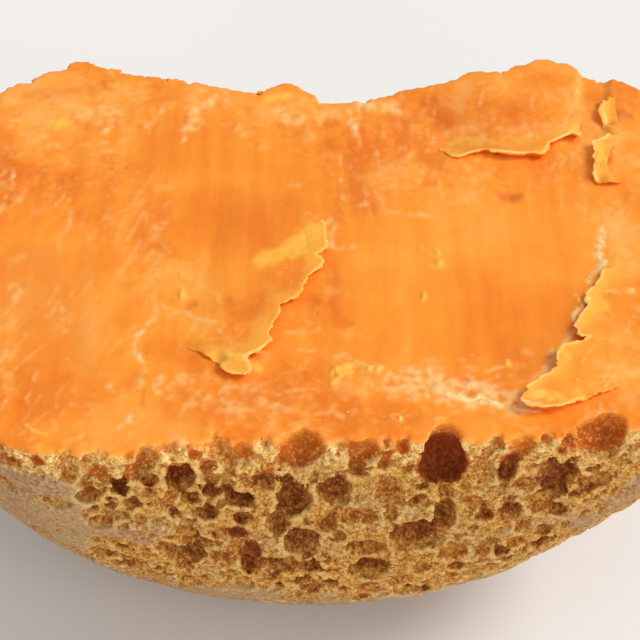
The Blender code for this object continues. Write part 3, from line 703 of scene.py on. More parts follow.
def carve(fields, frame, width, height, depth, dark, rounding=0.4, wild=1.0, dust_and_shade=1.0):
    """Take one pit out of the solid: an uneven ball that opens this wide and goes this deep.
    Its inside is stained and given painted shade this dark, more so deeper in and under its upper lip, and
    least at its lower lip, where the dust of the mites lies."""
    field, stain, eaten, lobes, rough = fields
    point, across, up, outward = frame
    point = point - outward * SKIN_RECESS * float(value_at(eaten, point))
    opening = (width + height) / 4.0
    radius = (opening ** 2 + depth ** 2) / (2.0 * depth)
    centre = point - outward * (depth - radius)
    middle = point - outward * max(0.0, depth - radius)
    spread = min(radius, PIT_SPREAD_SHARE * opening)
    reach = spread * max(width, height) / (2.0 * opening) * (1.0 + 3.0 * PIT_LOBES) + 3.0 * PIT_ROUGHNESS
    span = tuple(slice(*np.searchsorted(lines, (place - reach, place + reach)))
                 for lines, place in zip(GRID, middle))
    away = [(lines[part] - place).reshape([-1 if i == j else 1 for j in range(3)])
            for i, (lines, part, place) in enumerate(zip(GRID, span, centre))]
    sideways, upwards, out = (away[0] * way.x + away[1] * way.y + away[2] * way.z
                              for way in (across, up, outward))
    stretched = np.sqrt((sideways * 2.0 * opening / width) ** 2 + (upwards * 2.0 * opening / height) ** 2
                        + np.minimum(out, depth - radius) ** 2)
    shell = (stretched - radius - spread * wild * PIT_LOBES * lobes[span]
             + wild * min(PIT_ROUGHNESS, PIT_ROUGHNESS_SHARE * spread) * rough[span])
    field[span] = rounded_max(field[span], -shell, rounding)
    # Deeper in the pit the mark grows, as red-brown stain and painted shade; it is also painted darker under
    # the upper lip, as shade, and lighter at the dusty lower lip.
    sunk = (depth - radius - out) / depth + 0.1 * rough[span]
    sunk = sunk + DUST_AND_SHADE_SHARE * dust_and_shade * np.clip(2.0 * upwards / height, -1.4, 1.0) + 0.3 * (1.0 - dust_and_shade)
    mark = dark * smooth_step(-0.02, 0.5, sunk) * smooth_step(1.0, 0.3, shell)
    mark = mark * (1.0 - 0.5 * (1.0 - dust_and_shade) * smooth_step(0.34, 0.56, upwards / height))
    stain[span] = np.maximum(stain[span], mark)


def stroke_distance(x, y, start, end):
    """Distance from each point to a straight stroke."""
    run_x, run_y = end[0] - start[0], end[1] - start[1]
    share = ((x - start[0]) * run_x + (y - start[1]) * run_y) / max(run_x ** 2 + run_y ** 2, 1e-6)
    share = np.clip(share, 0.0, 1.0)
    return np.hypot(x - start[0] - share * run_x, y - start[1] - share * run_y)


def line_distance(x, y, line):
    """Distance from each point to a line of strokes."""
    return np.min([stroke_distance(x, y, start, end) for start, end in zip(line, line[1:])], 0)


def polygon_distance(x, y, outline):
    """Distance from each point to a closed outline, negative inside it."""
    inside = np.zeros(np.broadcast(x, y).shape, bool)
    for (x0, y0), (x1, y1) in zip(outline, outline[1:] + outline[:1]):
        crossed = (y0 > y) != (y1 > y)
        inside ^= crossed & (x < x0 + (y - y0) * (x1 - x0) / ((y1 - y0) or 1e-9))
    nearest = line_distance(x, y, outline + outline[:1])
    return np.where(inside, -nearest, nearest)


def layer_top(x, y, pivot, towards, rise, lean, outline=None, fades_in=NO_FADE):
    """Height of a torn layer's top above the cut plane. Its outline comes along unused."""
    ahead = (x - pivot[0]) * towards[0] + (y - pivot[1]) * towards[1]
    return rise * smooth_step(*fades_in, x) - math.tan(math.radians(lean)) * ahead


def scratches(rng):
    """Fine random scratches, as marks."""
    rows = []
    for count, across, along, way, length in SCRATCHES:
        for _ in range(count):
            x, y = rng.uniform(*across), rng.uniform(*along)
            turn = math.radians(way + rng.gauss(0.0, SCRATCH_SPREAD))
            run = rng.uniform(*length)
            rows.append((x, y, x + run * math.cos(turn), y + run * math.sin(turn),
                         rng.uniform(*SCRATCH_REACH), rng.uniform(*SCRATCH_STRENGTH)))
    return rows


def marked(rows, wander):
    """How strongly each place of the face is marked, by strokes with soft, wandering outlines."""
    total = np.zeros((len(GRID[0]), len(GRID[1])), np.float32)
    for x0, y0, x1, y1, reach, strength in rows:
        loose = min(1.0, 0.2 + 0.5 * reach)
        x, y = FACE_X + loose * wander[0], FACE_Y + loose * wander[1]
        away = stroke_distance(x, y, (x0, y0), (x1, y1)) / reach
        total = np.maximum(total, strength * smooth_step(1.0, 0.3, away))
    return total


def face_maps():
    """Maps over the cut face: its relief above the plane, and how its paste looks."""
    fine = lumps(*FACE_FINE, OVER_FACE)
    small, middling, broad = (lumps(size, seed, OVER_FACE) for size, seed in FACE_LUMPS)
    wander = [0.35 * lumps(0.8, seed, OVER_FACE) + 0.7 * lumps(2.6, seed + 1, OVER_FACE)
              for seed in WANDER_SEEDS]
    clean = marked(CLEAN, [3.0 * way for way in wander])
    mottle = (0.25 * small + 0.5 * middling + 0.6 * broad) * (1.0 - 0.85 * clean)
    scratched = marked(scratches(random.Random(SCRATCH_SEED)), [0.3 * way for way in wander])
    scratched = scratched * (1.0 - 0.8 * clean)
    dried = marked(DRIED, wander)
    dried = dried * (0.3 + 0.7 * smooth_step(0.4, 0.7, dried + 0.3 * fine + 0.15 * small))
    crumbly = np.clip(0.85 + 0.3 * small + 0.3 * fine, 0.0, 1.3)
    dry_spots = 0.22 * smooth_step(0.7, 1.6, mottle + (0.5 * small + 0.35 * fine) * (1.0 - clean))
    chips = marked([row for row in THIN_PASTE if row[4] <= 2.0 and row[5] >= 0.8], wander)
    chips = chips * smooth_step(0.3, 0.6, chips + 0.25 * small + 0.25 * fine)
    chalk = marked(CHALKY, wander)
    chalk = chalk * smooth_step(0.1, 0.75, chalk * 0.7 + 0.22 * fine + 0.16 * small)
    thin = marked(THIN_PASTE, wander)
    thin = thin * (0.3 + 0.7 * smooth_step(0.25, 0.6, thin + 0.25 * small + 0.25 * fine))
    deep = np.maximum(marked(DEEP_AND_SHADED_PASTE, wander), 0.35 * smooth_step(0.6, 1.8, -mottle))

    relief = SWELL_HEIGHT * lumps(*FACE_SWELL, OVER_FACE) - FACE_SUNK
    rise_middling, rise_small, rise_fine = LUMP_HEIGHTS
    relief += (1.0 - 0.9 * clean) * (rise_middling * middling + rise_small * small + rise_fine * fine)
    for layer in TORN_LAYERS.values():
        away = polygon_distance(FACE_X, FACE_Y, layer["outline"])
        top = layer_top(FACE_X, FACE_Y, **layer)
        relief = relief + smooth_step(*LAYER_EDGE, away) * np.maximum(top - relief, 0.0)
    relief += (DRIED_HEIGHT * dried * (small + fine) + SCRATCH_HEIGHT * scratched
               + chalk * (CHALK_HEIGHT + CHALK_HEIGHT * fine))
    relief += CHIP_HEIGHT * chips * np.clip(0.8 + 0.35 * fine, 0.0, 2.0)
    dent_x, dent_y, long, wide, deepest = FACE_DENT
    away = np.hypot((FACE_X - dent_x) / long, (FACE_Y - dent_y) / wide)
    relief -= deepest * smooth_step(1.0, 0.2, away)
    dried = np.clip(np.maximum(np.maximum(dried, scratched) * crumbly, dry_spots), 0.0, 1.0)
    return dict(relief=relief, mottle=mottle, worn=1.0 - 0.85 * clean, dried=dried, thin=thin,
                chalk=chalk, deep=deep)


def closed_surface(field, grid=GRID):
    """Points and four-sided faces of the skin where the field changes sign."""
    nx, ny, nz = field.shape
    inside = field < 0
    count = np.zeros((nx - 1, ny - 1, nz - 1), np.uint8)
    for i, j, k in CORNERS:
        count += inside[i:nx - 1 + i, j:ny - 1 + j, k:nz - 1 + k]
    cells = np.argwhere((count > 0) & (count < 8))
    flat = field.ravel()
    start = (cells[:, 0] * ny + cells[:, 1]) * nz + cells[:, 2]
    values = [flat[start + (i * ny + j) * nz + k] for i, j, k in CORNERS]
    total = np.zeros((len(cells), 3), np.float32)
    crossings = np.zeros(len(cells), np.float32)
    for a, first in enumerate(CORNERS):
        for b, second in enumerate(CORNERS):
            step = np.subtract(second, first)
            if b <= a or np.abs(step).sum() != 1:
                continue
            crossed = (values[a] < 0) != (values[b] < 0)
            share = np.where(crossed, values[a] / np.where(crossed, values[a] - values[b], 1.0), 0.0)
            total += crossed[:, None] * (np.array(first) + share[:, None] * step)
            crossings += crossed
    place = total / crossings[:, None]
    points = np.stack([lines[cells[:, i]] + place[:, i] * (lines[cells[:, i] + 1] - lines[cells[:, i]])
                       for i, lines in enumerate(grid)], 1)

    number = np.full(count.shape, -1, np.int32)
    number[tuple(cells.T)] = np.arange(len(cells), dtype=np.int32)
    quads = []
    for axis in range(3):
        one, two = (axis + 1) % 3, (axis + 2) % 3
        low = [slice(1, -1)] * 3
        low[axis] = slice(0, -1)
        high = list(low)
        high[axis] = slice(1, None)
        leaving = inside[tuple(low)] & ~inside[tuple(high)]
        entering = ~inside[tuple(low)] & inside[tuple(high)]
        for crossed, turns in ((leaving, ((-1, -1), (0, -1), (0, 0), (-1, 0))),
                               (entering, ((-1, -1), (-1, 0), (0, 0), (0, -1)))):
            at = np.argwhere(crossed)
            at[:, one] += 1
            at[:, two] += 1
            ring = []
            for step_one, step_two in turns:
                cell = at.copy()
                cell[:, one] += step_one
                cell[:, two] += step_two
                ring.append(number[tuple(cell.T)])
            quads.append(np.stack(ring, 1))
    return points, np.concatenate(quads)


def sampled(field, points):
    """The field's values at points, blended between the grid's planes."""
    base, share = [], []
    for i, lines in enumerate(GRID):
        cell = np.clip(np.searchsorted(lines, points[:, i]) - 1, 0, len(lines) - 2)
        base.append(cell)
        share.append(np.clip((points[:, i] - lines[cell]) / (lines[cell + 1] - lines[cell]), 0.0, 1.0))
    value = 0.0
    for i, j, k in CORNERS:
        weight = np.ones(len(points))
        for axis, step in enumerate((i, j, k)):
            weight = weight * (share[axis] if step else 1.0 - share[axis])
        value = value + weight * field[base[0] + i, base[1] + j, base[2] + k]
    return value


def mesh_from(name, points, faces):
    """A mesh in metres from points in millimetres and faces of one size."""
    mesh = bpy.data.meshes.new(name)
    mesh.vertices.add(len(points))
    mesh.vertices.foreach_set("co", (points * MM).astype(np.float32).ravel())
    mesh.loops.add(faces.size)
    mesh.loops.foreach_set("vertex_index", faces.astype(np.int32).ravel())
    mesh.polygons.add(len(faces))
    mesh.polygons.foreach_set("loop_start", np.arange(0, faces.size, faces.shape[1], dtype=np.int32))
    mesh.update(calc_edges=True)
    return mesh


def eaten_field():
    """Where the mites ate the skin away: 1 eaten, 0 skin, with soft borders between."""
    below = FACE_HEIGHT - Z
    near = smooth_step(*NEAR_SIDE_BAND, -Y)
    left, right = (share * smooth_step(*across, X) * smooth_step(*down, below)
                   for share, across, down in (OLD_SKIN_LEFT, OLD_SKIN_RIGHT))
    share, down = OLD_SKIN_FOOT
    foot = share * smooth_step(*down, below)
    wanted = EATEN_FAR + near * (EATEN_NEAR - np.maximum(np.maximum(left, right), foot))
    patches = 0.5 * lumps(EATEN_PATCH, 61) + 0.25 * lumps(EATEN_EDGE, 62)
    return smooth_step(-0.5, 0.5, wanted + patches).astype(np.float32)


def crowd(rng, eaten, wants_eaten, taken, tries, turn, area, width, overlap):
    """Random pits, the largest first, that may cut into each other up to a share of their size,
    on eaten rind or, with wants_eaten 0, on old skin."""
    alongs, _, areas = outline_table()
    widths = sorted((width[0] + (width[1] - width[0]) * rng.random() ** CROWD_SKEW for _ in range(tries)),
                    reverse=True)
    places = [tuple(pit[0][0]) for pit in taken]
    sizes = [max(pit[1:3]) * TAKEN_GROWN for pit in taken]
    found = []
    for across in widths:
        along = float(np.interp(rng.uniform(*area), areas, alongs))
        round_axis = rng.uniform(*turn)
        point = rind_point(round_axis, along)
        if point.z > FACE_HEIGHT + across * 0.2 or point.z < LOWEST_PIT:
            continue
        if abs(value_at(eaten, point) - wants_eaten) > 0.5:
            continue
        if places:
            away = np.linalg.norm(np.array(places) - np.array(point), axis=1)
            if np.any(away < overlap * (across + np.array(sizes))):
                continue
        places.append(tuple(point))
        sizes.append(across)
        found.append((round_axis, along, across))
    return found


def carve_big_pit(fields):
    """The biggest pit, whose mouth turns up through the rim."""
    for x, below, inward, width, height, depth, turned, dark in BIG_PIT:
        point, across, up, outward = rind_frame(*place_on_side(x, below, -1.0))
        point = point - inward * outward
        outward = (outward + turned * up).normalized()
        up = outward.cross(across).normalized()
        carve(fields, (point, across, up, outward), width, height, depth, dark, wild=0.3 - 0.2 * dark,
              dust_and_shade=1.0 - math.floor(dark))


def carve_placed_pits(fields, pits, rng):
    """The solid model's other pits, and the smaller ones beside them, which pits then holds too."""
    eaten = fields[2]
    for frame, width, height, depth, *dark in pits[BIG_PIT_ROWS:]:
        if dark:
            wider, higher, deeper = NEAR_PIT_GROWN
            carve(fields, frame, width * wider, height * higher, (depth - PIT_DEPTH_LESS) * deeper,
                  dark[0], wild=NEAR_PIT_WILDNESS)
        else:
            bare = (0.3 + 0.7 * float(value_at(eaten, frame[0]))) * (1.0 - 0.8 * clean_rim(frame[0]))
            carve(fields, frame, width, height, (depth - PIT_DEPTH_LESS) * bare,
                  rng.uniform(*SCATTER_DARKNESS) * bare * (1.0 - 0.8 * near_cut(frame[0])))
    for x, below, width, height, dark in SIDE_PITS:
        frame = rind_frame(*place_on_side(x, below, -1.0))
        pits.append((frame, width, height, 0.0))
        wider, higher = SIDE_PIT_GROWN
        carve(fields, frame, width * wider, height * higher,
              (width + height) / 2.0 * SIDE_PIT_DEPTH_SHARE, dark)


def carve_crowds(fields, pits, rng):
    """The crowds of small pits in the eaten rind, and the pores in the old skin."""
    eaten = fields[2]
    for settings in (NEAR_CROWD, FAR_CROWD):
        for round_axis, along, across in crowd(rng, eaten, 1.0, pits, **settings):
            frame = rind_frame(round_axis, along)
            dark = min(0.9, rng.random() * (0.3 + 0.16 * across)) * (1.0 - 0.7 * near_cut(frame[0]))
            height = across * rng.uniform(*CROWD_HEIGHT_SHARE)
            depth = across * rng.uniform(*CROWD_DEPTH_SHARE) * (1.0 - 0.6 * clean_rim(frame[0]))
            carve(fields, frame, across, height, depth, dark)
    for round_axis, along, across in crowd(rng, eaten, 0.0, pits, **PORES):
        carve(fields, rind_frame(round_axis, along), across, across * PORE_HEIGHT_SHARE, PORE_DEPTH,
              dark=PORE_DARKNESS, rounding=PORE_ROUNDING)


def body_fields():
    """The carved ball without its cut, with the fields that its colours follow."""
    skin = ball_field()
    lobes = lumps(*LOBES)
    rough, finer = (strength * lumps(size, seed) for strength, size, seed in ROUGH_LUMPS)
    rough = rough + finer
    eaten = eaten_field()
    body = skin + SKIN_RECESS * eaten
    stain = np.zeros_like(body)
    fields = (body, stain, eaten, lobes, rough)
    rng = random.Random(CROWD_SEED)
    pits = placed_pits()
    carve_big_pit(fields)
    carve_placed_pits(fields, pits, rng)
    carve_crowds(fields, pits, rng)
    grain = lumps(*GRAIN)
    at_skin = np.exp(-(skin / EATEN_GRAIN_REACH) ** 2)
    body += eaten * at_skin * (1.0 - 0.85 * stain) * EATEN_GRAIN_HEIGHT * grain
    body += (1.0 - eaten) * (SKIN_ROUGH_HEIGHT * rough + SKIN_GRAIN_HEIGHT * grain)
    near = smooth_step(*CRUMBLED_ALONG, Y) * (1.0 - 0.8 * smooth_step(*LEFT_RIM, X))
    crumbled = near * eaten * smooth_step(-1.6 - 1.3 * np.clip(lobes, -0.8, 2.0), -0.5, skin)
    return body, skin, eaten, stain, (crumbled * np.clip(0.6 + 0.4 * grain, 0.0, 1.0)).astype(np.float32)


def bounded(field):
    """The field with its outermost planes made empty, so that its surface closes."""
    for axis in range(3):
        ends = [slice(None)] * 3
        ends[axis] = [0, -1]
        field[tuple(ends)] = np.maximum(field[tuple(ends)], 0.1)
    return field


def blurred(field, reach):
    """The field averaged over a cube that reaches this many planes each way."""
    for axis in range(3):
        padded = np.concatenate([np.zeros_like(np.take(field, [0], axis)), np.cumsum(field, axis)], axis)
        last = field.shape[axis]
        high = np.minimum(np.arange(last) + reach + 1, last)
        low = np.maximum(np.arange(last) - reach, 0)
        field = np.take(padded, high, axis) - np.take(padded, low, axis)
        field = (field / (2 * reach + 1)).astype(np.float32)
    return field


def largest_piece(points, quads):
    """Only the faces of the largest connected skin."""
    label = np.arange(len(points))
    while True:
        lowest = label[quads].min(1)
        new = label.copy()
        np.minimum.at(new, quads.ravel(), np.repeat(lowest, 4))
        new = new[new]
        if np.array_equal(new, label):
            break
        label = new
    kept = label == np.bincount(label).argmax()
    number = np.cumsum(kept) - 1
    return points[kept], number[quads[kept[quads[:, 0]]]]


def new_object(name, data):
    """An object of the scene for a mesh, a light or a camera."""
    obj = bpy.data.objects.new(name, data)
    bpy.context.scene.collection.objects.link(obj)
    return obj


def thinned(mesh, weights):
    """The mesh with fewer triangles: points of weight 0 stay, the others go the sooner the more they
    weigh."""
    obj = new_object(mesh.name, mesh)
    group = obj.vertex_groups.new(name="may thin")
    for weight in sorted(set(weights.tolist())):
        group.add(np.flatnonzero(weights == weight).tolist(), weight, "REPLACE")
    thin = obj.modifiers.new("Thin", "DECIMATE")
    thin.ratio = BODY_TRIANGLES / (2.0 * len(mesh.polygons))
    thin.use_collapse_triangulate = True
    thin.vertex_group = group.name
    thin.vertex_group_factor = THIN_STRENGTH
    done = bpy.data.meshes.new_from_object(obj.evaluated_get(bpy.context.evaluated_depsgraph_get()))
    name = mesh.name
    bpy.data.objects.remove(obj)
    bpy.data.meshes.remove(mesh)
    done.name = name
    return done


def mesh_points(mesh):
    """The mesh's points in millimetres."""
    points = np.empty(len(mesh.vertices) * 3, np.float32)
    mesh.vertices.foreach_get("co", points)
    return points.reshape(-1, 3) / MM


def paint(mesh, name, values):
    """Keep a value for each point, for the material to read."""
    mesh.attributes.new(name, "FLOAT", "POINT").data.foreach_set("value", np.asarray(values, np.float32))


def linear(colour):
    """An sRGB hex colour as linear red, green, blue and alpha."""
    shares = [int(colour[i:i + 2], 16) / 255.0 for i in (1, 3, 5)]
    return tuple(share / 12.92 if share <= 0.04045 else ((share + 0.055) / 1.055) ** 2.4
                 for share in shares) + (1.0,)


def node(tree, kind, inputs=None, output=0, ramp=None, **settings):
    """Add a node with its settings, values and links, and give one of its outputs."""
    made = tree.nodes.new(kind)
    for name, value in settings.items():
        setattr(made, name, value)
    for name, value in (inputs or {}).items():
        if isinstance(value, bpy.types.NodeSocket):
            tree.links.new(value, made.inputs[name])
        else:
            made.inputs[name].default_value = linear(value) if str(value).startswith("#") else value
    if ramp:
        for place, colour in ramp[1:-1]:
            made.color_ramp.elements.new(place)
        for element, (place, colour) in zip(made.color_ramp.elements, ramp):
            element.position = place
            element.color = linear(colour)
    return made.outputs[output] if made.outputs else None


def per_metre(size_mm):
    """The noise scale whose lumps are this many millimetres across."""
    return 1.0 / (size_mm * MM)


# Kinds of nodes that come often, the sockets of a mix of colours and its settings
MIX = "ShaderNodeMix"
MATH = "ShaderNodeMath"
NOISE = "ShaderNodeTexNoise"
CELLS = "ShaderNodeTexVoronoi"
RANGE = "ShaderNodeMapRange"
RAMP = "ShaderNodeValToRGB"
VALUE = "ShaderNodeAttribute"
FACTOR, FIRST, SECOND = 0, 6, 7
OF_COLOURS = dict(output=2, data_type="RGBA")


def new_material(name):
    """An empty material and its node tree."""
    made = bpy.data.materials.new(name)
    made.use_nodes = True
    made.node_tree.nodes.clear()
    return made, made.node_tree


def paste_colour(tree, place, fine):
    """The colour of the cut paste: annatto orange in soft clouds drawn out along the knife, deeper in
    patches and with painted shadows along lips and chips, dried in patches, yellow where it is thin, whitish
    where it crumbled."""
    looks = {name: node(tree, VALUE, output=2, attribute_name=name)
             for name in ("mottle", "worn", "dried", "thin", "chalk", "deep")}
    veins = node(tree, NOISE, {"Vector": place, "Scale": per_metre(VEINS), "Detail": 3.0})
    along_knife = node(tree, "ShaderNodeMapping", {"Vector": place, "Rotation": (0.0, 0.0, KNIFE_TURN),
                                                   "Scale": (1.0, DRAG_STRETCH, 1.0)})
    drag = node(tree, NOISE, {"Vector": along_knife, "Scale": per_metre(DRAG), "Detail": 4.0,
                              "Roughness": 0.6})
    drag = node(tree, RANGE, {0: drag, 1: 0.3, 2: 0.7, 3: -0.1, 4: 0.1})
    clouds = node(tree, MATH, {0: looks["mottle"], 1: 0.028, 2: veins}, operation="MULTIPLY_ADD")
    clouds = node(tree, MATH, {0: clouds, 1: drag}, operation="ADD")
    colour = node(tree, RAMP, {0: clouds}, ramp=RAMPS["paste"])
    for low, high, most, wanted in ((0.55, 0.68, 0.4, "#FFB45C"), (0.42, 0.30, 0.35, "#E06C18")):
        share = node(tree, RANGE, {0: fine, 1: low, 2: high, 3: 0.0, 4: most})
        share = node(tree, MATH, {0: share, 1: looks["worn"]}, operation="MULTIPLY")
        colour = node(tree, MIX, {FACTOR: share, FIRST: colour, SECOND: wanted}, **OF_COLOURS)
    for name, wanted, most in PASTE_MARKS:
        share = node(tree, MATH, {0: looks[name], 1: most}, operation="MULTIPLY", use_clamp=True)
        colour = node(tree, MIX, {FACTOR: share, FIRST: colour, SECOND: wanted}, **OF_COLOURS)
    return colour, looks["worn"]


def rind_colour(tree, place, patches, looks):
    """The colour of the rind, with the height of its grain: golden sponge that greys in patches,
    browns in blots and is fresh near the cut; old skin with dots of painted shade for tiny holes; pits that
    darken inwards with stain and painted shade; painted shade in hollows and painted highlights on rims."""
    up = node(tree, "ShaderNodeSeparateXYZ", {0: place}, output=2)
    crumb = node(tree, NOISE, {"Vector": place, "Scale": per_metre(CRUMB), "Detail": 3.0,
                               "Roughness": 0.65})
    cells = node(tree, CELLS, {"Vector": place, "Scale": per_metre(CRUMB_CELLS)})
    grain = node(tree, RANGE, {0: cells, 1: 0.0, 2: 0.75, 3: 0.11, 4: -0.1})
    tone = node(tree, MATH, {0: crumb, 1: grain}, operation="ADD")
    blots = node(tree, NOISE, {"Vector": place, "Scale": per_metre(BLOTS), "Detail": 2.0})
    golden, greyed, fresh, pit_wall, pit_floor = (
        node(tree, RAMP, {0: tone}, ramp=RAMPS[name])
        for name in ("golden", "greyed", "fresh", "pit_wall", "pit_floor"))

    greyer = node(tree, RANGE, {0: patches, 1: 0.50, 2: 0.62, 3: 0.0, 4: 0.6})
    fresher = node(tree, RANGE, {0: up, 1: (FACE_HEIGHT - 12.0) * MM, 2: (FACE_HEIGHT - 1.0) * MM})
    browner = node(tree, RANGE, {0: blots, 1: 0.50, 2: 0.66, 3: 0.0, 4: 0.6})
    for share, wanted in ((greyer, greyed), (fresher, fresh), (browner, "#B4783A")):
        golden = node(tree, MIX, {FACTOR: share, FIRST: golden, SECOND: wanted}, **OF_COLOURS)

    redder = node(tree, RANGE, {0: patches, 1: 0.42, 2: 0.58})
    dustier = node(tree, RANGE, {0: tone, 1: 0.42, 2: 0.66, 3: 0.0, 4: 0.8})
    crust = "#AA8658"
    for share, wanted in ((redder, "#A67A58"), (dustier, "#CCAA74")):
        crust = node(tree, MIX, {FACTOR: share, FIRST: crust, SECOND: wanted}, **OF_COLOURS)
    worn_off = node(tree, MATH, {0: tone, 1: 1.2, 2: looks["eaten"]}, operation="MULTIPLY_ADD")
    below_skin = node(tree, RANGE, {0: looks["depth_mm"], 1: 0.8, 2: 1.6})
    worn_off = node(tree, MATH, {0: worn_off, 1: below_skin}, operation="ADD")
    worn_off = node(tree, RANGE, {0: worn_off, 1: 0.85, 2: 1.55})
    # Painted shade of tiny holes: dark dots, where the blots lie, stand in for holes that the mesh lacks.
    dots = node(tree, CELLS, {"Vector": place, "Scale": per_metre(PINHOLE_SHADE_CELLS)})
    dots = node(tree, RANGE, {0: dots, 1: 0.34, 2: 0.16})
    in_blots = node(tree, RANGE, {0: blots, 1: 0.42, 2: 0.56})
    pinhole_shade = node(tree, MATH, {0: dots, 1: in_blots}, operation="MULTIPLY")
    pinhole_shade = node(tree, MATH, {0: pinhole_shade, 1: 0.75}, operation="MULTIPLY")

    near_rim = node(tree, RANGE, {0: up, 1: (FACE_HEIGHT - 11.0) * MM, 2: (FACE_HEIGHT - 0.5) * MM})
    fresh_wall = node(tree, RAMP, {0: near_rim}, ramp=RAMPS["fresh_wall"])
    lit_crumbs = node(tree, RANGE, {0: tone, 1: 0.48, 2: 0.68, 3: 0.0, 4: 0.6})
    fresh_wall = node(tree, MIX, {FACTOR: lit_crumbs, FIRST: fresh_wall, SECOND: "#E8A850"}, **OF_COLOURS)
    fresh_share = node(tree, RANGE, {0: near_rim, 1: 0.05, 2: 0.35})
    pit_wall = node(tree, MIX, {FACTOR: fresh_share, FIRST: pit_wall, SECOND: fresh_wall}, **OF_COLOURS)
    pit_floor = node(tree, MIX, {FACTOR: fresher, FIRST: pit_floor, SECOND: "#A0300C"}, **OF_COLOURS)
    # The stain carries painted shade too: pits darken inwards with it.
    uneven_stain_and_shade = node(tree, MATH, {0: tone, 1: -0.4, 2: looks["stain"]}, operation="MULTIPLY_ADD")
    inside = node(tree, RANGE, {0: uneven_stain_and_shade, 1: -0.12, 2: 0.16})
    darkest = node(tree, RANGE, {0: uneven_stain_and_shade, 1: 0.32, 2: 0.74})
    # Painted shade: hollow places take the pit wall's colour. Painted highlight: convex rims are made pale.
    shade = node(tree, RANGE, {0: looks["hollow"], 1: 0.52, 2: 0.74, 3: 0.0, 4: 0.7})
    painted_rim_highlight = node(tree, RANGE, {0: looks["hollow"], 1: 0.42, 2: 0.30, 3: 0.0, 4: 0.5})
    for share, wanted in ((worn_off, golden), (pinhole_shade, "#6A4218"), (painted_rim_highlight, "#ECC27A"),
                          (shade, pit_wall), (inside, pit_wall), (darkest, pit_floor)):
        crust = node(tree, MIX, {FACTOR: share, FIRST: crust, SECOND: wanted}, **OF_COLOURS)
    rougher = node(tree, RANGE, {0: inside, 3: 1.0, 4: 0.35})
    return crust, node(tree, MATH, {0: tone, 1: rougher}, operation="MULTIPLY")


def cheese_material():
    """Aged mimolette. The paste is dense, waxy and annatto orange, cut with a knife: smooth,
    faintly see-through, hazed where it dried. The rind is a dry crust that mites ate: golden
    crumbly sponge, brown-red in its pits, grey-beige where the old skin is left."""
    made, tree = new_material("aged mimolette, cut paste and mite-eaten rind")
    place = node(tree, "ShaderNodeTexCoord", output=3)
    looks = {name: node(tree, VALUE, output=2, attribute_name=name)
             for name in ("depth_mm", "eaten", "hollow", "stain", "cut")}
    patches = node(tree, NOISE, {"Vector": place, "Scale": per_metre(PATCHES), "Detail": 2.0})
    scuffs = node(tree, NOISE, {"Vector": place, "Scale": per_metre(SCUFFS), "Detail": 4.0,
                                "Roughness": 0.7})
    crust, rind_height = rind_colour(tree, place, patches, looks)
    paste, worn = paste_colour(tree, place, scuffs)
    rim = node(tree, RANGE, {0: looks["depth_mm"], 1: 0.8, 2: 5.0, 3: 0.45, 4: 0.0})
    in_patches = node(tree, RANGE, {0: patches, 1: 0.35, 2: 0.60})
    rim = node(tree, MATH, {0: rim, 1: in_patches}, operation="MULTIPLY")
    paste = node(tree, MIX, {FACTOR: rim, FIRST: paste, SECOND: "#F88E22"}, **OF_COLOURS)
    colour = node(tree, MIX, {FACTOR: looks["cut"], FIRST: crust, SECOND: paste}, **OF_COLOURS)

    waxy = node(tree, MATH, {0: worn, 1: 0.25}, operation="MULTIPLY")
    waxy = node(tree, MATH, {0: scuffs, 1: waxy}, operation="MULTIPLY")
    height = node(tree, MIX, {FACTOR: looks["cut"], 2: rind_height, 3: waxy}, data_type="FLOAT")
    dents = node(tree, "ShaderNodeBump", {"Height": height, "Strength": 0.5, "Distance": 0.0007})
    rough = node(tree, RANGE, {0: looks["cut"], 3: 0.82, 4: 0.42})
    glow = node(tree, RANGE, {0: looks["cut"], 3: 0.02, 4: 0.2})
    shader = node(tree, "ShaderNodeBsdfPrincipled", {
        "Base Color": colour, "Roughness": rough, "Normal": dents, "IOR": 1.45,
        "Specular IOR Level": 0.22, "Subsurface Weight": glow,
        "Subsurface Radius": (1.0, 0.45, 0.15), "Subsurface Scale": 0.0025,
    })
    node(tree, "ShaderNodeOutputMaterial", {"Surface": shader})
    return made


def add_piece(name, points, quads, material, weights=None):
    """A new object of the scene from points and quads, thinned if weights are given."""
    mesh = mesh_from(name, points, quads)
    if weights is not None:
        mesh = thinned(mesh, weights)
    mesh.materials.append(material)
    mesh.shade_smooth()
    return new_object(name, mesh)


def over_face(field, points):
    """A map of the face at these points."""
    shape = tuple(len(lines) for lines in GRID)
    return sampled(np.broadcast_to(field[:, :, None], shape), points)


def paste_looks(maps, points):
    """What the paste's colour follows, at these points."""
    return {name: over_face(field, points) for name, field in maps.items() if name != "relief"}


